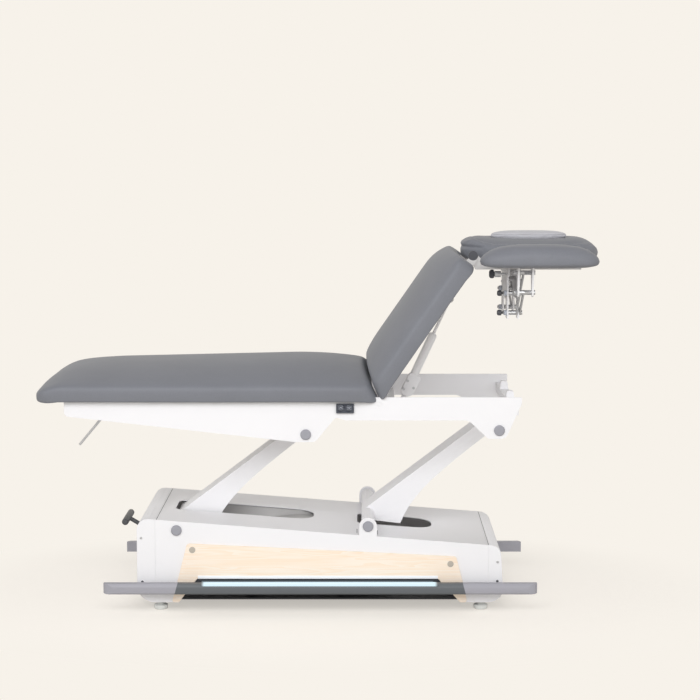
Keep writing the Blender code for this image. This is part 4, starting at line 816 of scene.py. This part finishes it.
def slot_tray(x0, x1, half, low, high):
    """Folded tray under the foot arm's slot, rising to the round end of the slot; its grey is painted shade
    inside the slot.
    """
    bm = bmesh.new()
    bmesh.ops.create_grid(bm, x_segments=24, y_segments=16, size=0.5)
    bmesh.ops.scale(bm, vec=(x1 - x0, 2 * half, 1), verts=bm.verts[:])
    bmesh.ops.translate(bm, vec=((x0 + x1) / 2, 0, 0), verts=bm.verts[:])
    for v in bm.verts:
        along = (v.co.x - x0) / (x1 - x0)
        across = abs(v.co.y) / half
        bottom = high - (high - low) * max(0.0, 1 - along) ** 2.2
        v.co.z = bottom + (base_top_at(v.co.x) - 4.5 * MM - bottom) * across ** 20
    bmesh.ops.solidify(bm, geom=bm.faces[:], thickness=1.2 * MM)
    bmesh.ops.recalc_face_normals(bm, faces=bm.faces[:])
    return bm


# Stage and light

def cream_floor():
    """Pale floor that keeps the shadow near the table and meets the background further out."""
    bm = bmesh.new()
    bmesh.ops.create_grid(bm, x_segments=1, y_segments=1, size=60)
    material, tree, shader = new_material("studio_paper", 0.9)
    shader.inputs["Base Color"].default_value = linear(FLOOR_GREY)
    shader.inputs["Specular IOR Level"].default_value = 0.0
    shader.inputs["Emission Color"].default_value = linear(CREAM)
    place = add_node(tree, "TexCoord").outputs["Object"]
    squeezed = add_node(tree, "Mapping", {"Scale": (1.0, 1.5, 1.0)}, {"Vector": place})
    away = add_node(tree, "VectorMath", None, {0: squeezed.outputs["Vector"]}, operation="LENGTH")
    fade = add_node(tree, "MapRange", {"From Min": 0.85, "From Max": 1.5}, {"Value": away.outputs["Value"]},
                    interpolation_type="SMOOTHSTEP")
    seen = add_node(tree, "LightPath")
    lift = add_node(tree, "MapRange", {"To Min": 0.22, "To Max": 0.52},
                    {"Value": seen.outputs["Is Camera Ray"]})
    tree.links.new(lift.outputs["Result"], shader.inputs["Emission Strength"])
    factor = add_node(tree, "Math", None,
                      {0: fade.outputs["Result"], 1: seen.outputs["Is Camera Ray"]}, operation="MULTIPLY")
    paper = add_node(tree, "Emission", {"Color": linear(CREAM), "Strength": 1.0})
    both = add_node(tree, "MixShader", None,
                    {"Fac": factor.outputs["Value"], 1: shader.outputs["BSDF"],
                     2: paper.outputs["Emission"]})
    tree.links.new(both.outputs["Shader"], tree.nodes["Material Output"].inputs["Surface"])
    object_of(bm, "studio_floor", material)


def studio_world():
    """Soft light that is cool and strong near the horizon, warmer and weaker overhead."""
    world = bpy.data.worlds.new("studio")
    bpy.context.scene.world = world
    world.use_nodes = True
    tree = world.node_tree
    tree.nodes.clear()
    seen = add_node(tree, "LightPath")
    direct = add_node(tree, "Math", None,
                      {0: seen.outputs["Is Camera Ray"], 1: seen.outputs["Is Glossy Ray"]},
                      operation="MAXIMUM")
    any_seen = add_node(tree, "Math", None,
                        {0: direct.outputs["Value"], 1: seen.outputs["Is Transmission Ray"]},
                        operation="MAXIMUM")
    ray = add_node(tree, "TexCoord").outputs["Generated"]
    height = add_node(tree, "SeparateXYZ", None, {"Vector": ray})
    walls = add_node(tree, "MapRange", {"From Min": 0.3, "From Max": 0.8, "To Min": 1.06, "To Max": 0.30},
                     {"Value": height.outputs["Z"]}, interpolation_type="SMOOTHSTEP")
    cool = add_node(tree, "MapRange", {"From Min": 0.1, "From Max": 0.8}, {"Value": height.outputs["Z"]})
    tint = add_node(tree, "Mix", {"A": (0.970, 0.985, 1.0, 1.0), "B": (1.0, 0.975, 0.955, 1.0)},
                    {"Factor": cool.outputs["Result"]}, data_type="RGBA")
    fill = add_node(tree, "Background", None,
                    {"Color": tint.outputs["Result"], "Strength": walls.outputs["Result"]})
    shown = add_node(tree, "Background", {"Color": linear(CREAM), "Strength": 1.0})
    both = add_node(tree, "MixShader", None,
                    {"Fac": any_seen.outputs["Value"], 1: fill.outputs["Background"],
                     2: shown.outputs["Background"]})
    add_node(tree, "OutputWorld", None, {"Surface": both.outputs["Shader"]})


def softbox(name, place, aim, size, power, colour=(1.0, 1.0, 1.0)):
    lamp = bpy.data.lights.new(name, "AREA")
    lamp.shape = "RECTANGLE"
    lamp.size, lamp.size_y = size
    lamp.energy = power
    lamp.color = colour
    obj = bpy.data.objects.new(name, lamp)
    obj.location = place
    obj.rotation_euler = (Vector(aim) - Vector(place)).to_track_quat("-Z", "Y").to_euler()
    bpy.context.collection.objects.link(obj)


def photograph_camera():
    camera = bpy.data.cameras.new("photo_camera")
    camera.lens = CAMERA_LENS
    camera.sensor_width = 36.0
    camera.shift_x = CAMERA_SHIFT_PX / FRAME_PX
    camera.clip_end = 300.0
    obj = bpy.data.objects.new("photo_camera", camera)
    obj.location = CAMERA_PLACE
    obj.rotation_euler = (math.radians(90 - CAMERA_PITCH), 0, 0)
    bpy.context.collection.objects.link(obj)
    bpy.context.scene.camera = obj


photograph_camera()
studio_world()
cream_floor()
softbox("front_box", (-0.5, -4.3, 3.0), (0.05, 0, 0.55), (4.0, 2.4), 118.0, (0.97, 0.985, 1.0))

# Finishes
white = powder_coated_steel("white_powder_coat", POWDER_WHITE)
frame_coat = powder_coated_steel("pale_grey_powder_coat", FRAME_GREY, HEAD_PIVOT, 17 * MM)
# Dark grey standing for shade: painted shade under the base, in the channel behind the light line, and in
# the open seams and slits.
shade_coat = powder_coated_steel("painted_shade_dark_grey", PAINTED_SHADE_GREY)
# Mid grey of the foot slot's tray: painted shade inside the slot.
tray_shade_coat = powder_coated_steel("tray_painted_shade_grey", TRAY_SHADE_GREY)
satin_silver = powder_coated_steel("satin_silver_paint", SILVER)
# White edge with a faint cyan glow: painted light of the strip lamps on the notch's edge.
painted_glow_edge = powder_coated_steel("white_edge_painted_glow", POWDER_WHITE)
edge_glow = painted_glow_edge.node_tree.nodes["Principled BSDF"].inputs
edge_glow["Emission Color"].default_value = linear(GLOW_CYAN)
edge_glow["Emission Strength"].default_value = 0.14
upholstery = grained_upholstery("grey_coated_upholstery", UPHOLSTERY_GREY)
# The pale plug cover carries a dark line of painted shade at this height.
plug_cover = grained_upholstery("pale_coated_upholstery", PLUG_GREY, shade_line_z=1.1875)
maple = maple_veneer()
zinc = zinc_steel()
cap_plastic = moulded_plastic("grey_cap_plastic", CAP_GREY, 0.5)
pedal_plastic = moulded_plastic("pedal_grip_plastic", PEDAL_GREY, 0.5)
panel_plastic = moulded_plastic("control_panel_plastic", PANEL_BLUE_BLACK, 0.42)
housing = moulded_plastic("motor_housing_plastic", HOUSING_BLACK, 0.5)
foot_rubber = moulded_plastic("pale_foot_rubber", FOOT_GREY, 0.6)
knob_plastic = moulded_plastic("clamp_knob_plastic", KNOB_BLACK, 0.45)
collar_plastic = moulded_plastic("grey_collar_plastic", COLLAR_GREY, 0.45)
icon_ink = moulded_plastic("printed_sign_ink", ICON_PALE, 0.6)
panel_screw_steel = moulded_plastic("nickel_disc", NICKEL, 0.4)
dark_screw = moulded_plastic("blackened_screw", SCREW_BLACK, 0.4)
strip_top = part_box("light_strip_near")[1][2]
glow = glowing_diffuser(strip_top - 8 * MM, strip_top - 5 * MM)
board_face = moulded_plastic("melamine_faced_board", BOARD_PALE, 0.5)
bar_low, bar_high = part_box("foot_bar_near")
light_cover = opal_light_cover(*LIGHT_LINE)
bar_finish = two_tone_bar((bar_low[0] + bar_high[0]) / 2, 0.478, 0.27)

# Rigid pieces: node, finish, edge radius in millimetres
RIGID = {
    "base_cover": (white, 2.0), "foot_end_cover": (white, 2.0), "head_end_cover": (white, 2.0),
    # The pan's dark grey is painted shade under the base.
    "base_pan": (shade_coat, 0),
    "lift_arm_foot": (white, 2.0), "lift_arm_head": (white, 2.0),
    "frame_plate_near": (white, 1.0), "frame_plate_far": (white, 1.0),
    "frame_cross_foot": (white, 1.5), "frame_cross_middle": (white, 1.0), "frame_cross_head": (white, 1.5),
    "backrest_frame": (frame_coat, 0), "head_frame": (frame_coat, 0), "armrest_yoke": (white, 0.6),
    "armrest_bracket_near": (white, 0.6), "armrest_bracket_far": (white, 0.6),
    "armrest_link_upper_near": (zinc, 0), "armrest_link_upper_far": (zinc, 0),
    "armrest_link_lower_near": (zinc, 0), "armrest_link_lower_far": (zinc, 0),
    "gas_spring_cylinder": (satin_silver, 0), "gas_spring_rod": (satin_silver, 0),
    "lift_spindle": (zinc, 0), "backrest_hinge_rod": (white, 0), "release_lever": (zinc, 0.6),
    "lower_axle_foot": (cap_plastic, 0.6), "lower_axle_head": (cap_plastic, 0.6),
    "upper_axle_foot": (cap_plastic, 0.6), "upper_axle_head": (cap_plastic, 0.6),
    "wood_panel_near": (maple, 0.8), "wood_panel_far": (maple, 0.8),
    "foot_bar_near": (bar_finish, 4.0), "foot_bar_far": (bar_finish, 4.0),
    "light_strip_near": (glow, 0.8), "light_strip_far": (glow, 0.8),
    "castor_pedal": (pedal_plastic, 0), "control_panel": (panel_plastic, 0),
    "up_button": (panel_plastic, 0.3), "down_button": (panel_plastic, 0.3),
    "lift_motor": (housing, 0), "control_box": (housing, 0),
    "seat_board": (board_face, 0.8), "backrest_board": (board_face, 0.8),
    "levelling_foot_foot_near": (foot_rubber, 0.8), "levelling_foot_foot_far": (foot_rubber, 0.8),
    "levelling_foot_head_near": (foot_rubber, 0.8), "levelling_foot_head_far": (foot_rubber, 0.8),
}
for node, (finish, edge) in RIGID.items():
    dressed(node, finish, edge, seams=COVER_SEAMS if node.endswith("_cover") else ())

# Large pads: node, form, cells, smoothing rounds, then finish, pressure, cap in millimetres and fill
formed("seat_cushion", seat_form, (74, 48, 6), 3, upholstery, 3.0, 3.0, 0.9)
formed("backrest_cushion", back_form, (38, 48, 8), 3, upholstery, 3.0, 3.0, 0.9)

# Small pads: node, voxel in millimetres, smoothing rounds, then as above
padded("head_cushion", 4.0, 4, upholstery, 3.0, 3.0, 0.8)
padded("armrest_cushion_near", 5.0, 3, upholstery, 3.0, 3.0, 0.9)
padded("armrest_cushion_far", 5.0, 3, upholstery, 3.0, 3.0, 0.9)
padded("face_hole_plug", 4.0, 2, plug_cover, 3.0, 2.0, 0.8)

# Screws, edge with a painted glow, channel of painted shade and light line of the base, the same on both
# sides
panel_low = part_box("wood_panel_near")[0]
cover_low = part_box("base_cover")[0]
PANEL_SCREWS = ((panel_low[0] + 63.9 * MM, 0.198), (0.404, 0.1527))
COVER_SCREWS = ((-0.5797, 0.2354, zinc), (-0.5770, 0.0935, dark_screw),
                (0.5541, 0.1578, zinc), (0.5537, 0.0955, dark_screw))
for side, sign in SIDES:
    wood_face = abs(panel_low[1]) * sign
    sheet_face = abs(cover_low[1]) * sign
    bar_face = abs(bar_low[1]) * sign
    for i, (x, z) in enumerate(PANEL_SCREWS):
        disc = screw_head((x, wood_face + sign * PROUD, z), (0, sign, 0), 10 * MM, 1.6 * MM, 0.55)
        added(disc, f"panel_screw_{side}_{i + 1}", panel_screw_steel, "base")
    for i, (x, z, finish) in enumerate(COVER_SCREWS):
        screw = screw_head((x, sheet_face + sign * PROUD, z), (0, sign, 0), 4.2 * MM, 1.8 * MM, 0.4)
        added(screw, f"cover_screw_{side}_{i + 1}", finish, "base")
    depths = sorted((wood_face, wood_face + sign * 1.2 * MM))
    added(bar_of(*NOTCH_EDGE, *depths, *NOTCH_EDGE_Z, 0.4 * MM), f"notch_edge_{side}", painted_glow_edge, "base")
    # Dark plate behind the light line: painted shade of the channel.
    depths = sorted((sheet_face + sign * 0.4 * MM, sheet_face + sign * 2.2 * MM))
    added(plate_of(CHANNEL_SHADE_OUTLINE, *depths), f"channel_shade_{side}", shade_coat, "base")
    depths = sorted((bar_face + sign * PROUD, bar_face - sign * LIGHT_DEPTH))
    added(bar_of(*LIGHT_LINE, *depths, *LIGHT_Z, 0.9 * MM), f"bar_light_{side}", light_cover,
          f"{side}_foot_bar")

# Dark strips of painted shade in the open seams of the base's top, and in the slits beside the head arm's
# hub
for x in SEAM_LINES:
    height = base_top_at(x)
    shade_line = bar_of(x - 0.8 * MM, x + 0.8 * MM, -SEAM_HALF, SEAM_HALF, height - 3 * MM, height + 0.25 * MM,
                  0.1 * MM)
    added(shade_line, f"cover_seam_{'foot' if x < 0 else 'head'}", shade_coat, "base")
for i, (x, z) in enumerate(HUB_SLITS):
    depths = (cover_low[1] - 0.3 * MM, cover_low[1] + 6 * MM)
    slit = bar_of(x - 0.9 * MM, x + 0.9 * MM, *depths, z - 6 * MM, z + 6 * MM, 0.2 * MM)
    added(slit, f"hub_slit_{i + 1}", shade_coat, "base")

# Tray in the foot slot, in a grey of painted shade
tray = slot_tray(*TRAY_ENDS, TRAY_HALF_WIDTH, *TRAY_Z)
added(tray, "foot_slot_tray", tray_shade_coat, "base")

# Signs on the two buttons
for node, tip in (("up_button", 1), ("down_button", -1)):
    low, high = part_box(node)
    x, y, z = (low[0] + high[0]) / 2, low[1], (low[2] + high[2]) / 2
    added(chevron((x, y, z), 4.2 * MM, tip), f"{node}_sign", icon_ink, node)
    added(sign_frame((x, y - SIGN_DEPTH, z), 6.6 * MM), f"{node}_frame", icon_ink, node)

# Collars on the armrest links' inner pins, clamp knobs on the near ones, and the head clamp on its shaft
for side, sign in SIDES:
    for level in ("upper", "lower"):
        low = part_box(f"armrest_link_{level}_{side}")[0]
        pin_y, pin_z = sign * PIN_Y, low[2] + 7.9 * MM
        collar = screw_head((low[0] + 9 * MM, pin_y, pin_z), (-1, 0, 0), 8.5 * MM, 11 * MM, 0.4)
        added(collar, f"pin_collar_{level}_{side}", collar_plastic, f"{side}_{level}_link")
        if side == "near":
            knob = round_knob((low[0] + 5 * MM, pin_y, pin_z), (-1, 0, 0), 9.5 * MM, 22 * MM)
            added(knob, f"clamp_knob_{level}", knob_plastic, f"{side}_{level}_link")
yoke_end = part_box("armrest_yoke")[0][0]
shaft = screw_head((yoke_end - 19 * MM, *HEAD_CLAMP), (-1, 0, 0), 4 * MM, 40 * MM, 0.4)
added(shaft, "head_clamp_shaft", zinc, "head")
knob = round_knob((yoke_end - 33 * MM, *HEAD_CLAMP), (-1, 0, 0), 14 * MM, 24 * MM)
added(knob, "head_clamp_knob", knob_plastic, "head")

# White clevis fitting at the lower end of the gas spring, with its bolts
lower_eye = Vector(GAS_EYE)
upward = Vector((math.cos(math.radians(GAS_TILT)), 0, math.sin(math.radians(GAS_TILT))))
added(clevis(lower_eye, upward), "gas_clevis", white, "gas_cylinder")
for i, (along, across) in enumerate(((48 * MM, 14 * MM), (78 * MM, 15 * MM), (66 * MM, -13 * MM))):
    x, z = along_tube(lower_eye, upward, along, across)
    bolt = screw_head((x, -CLEVIS_HALF_WIDTH - 1.4 * MM, z), (0, -1, 0), 4.5 * MM, 3 * MM, 0.4)
    added(bolt, f"gas_clevis_bolt_{i + 1}", zinc, "gas_cylinder")

bpy.context.scene.view_settings.view_transform = "Standard"
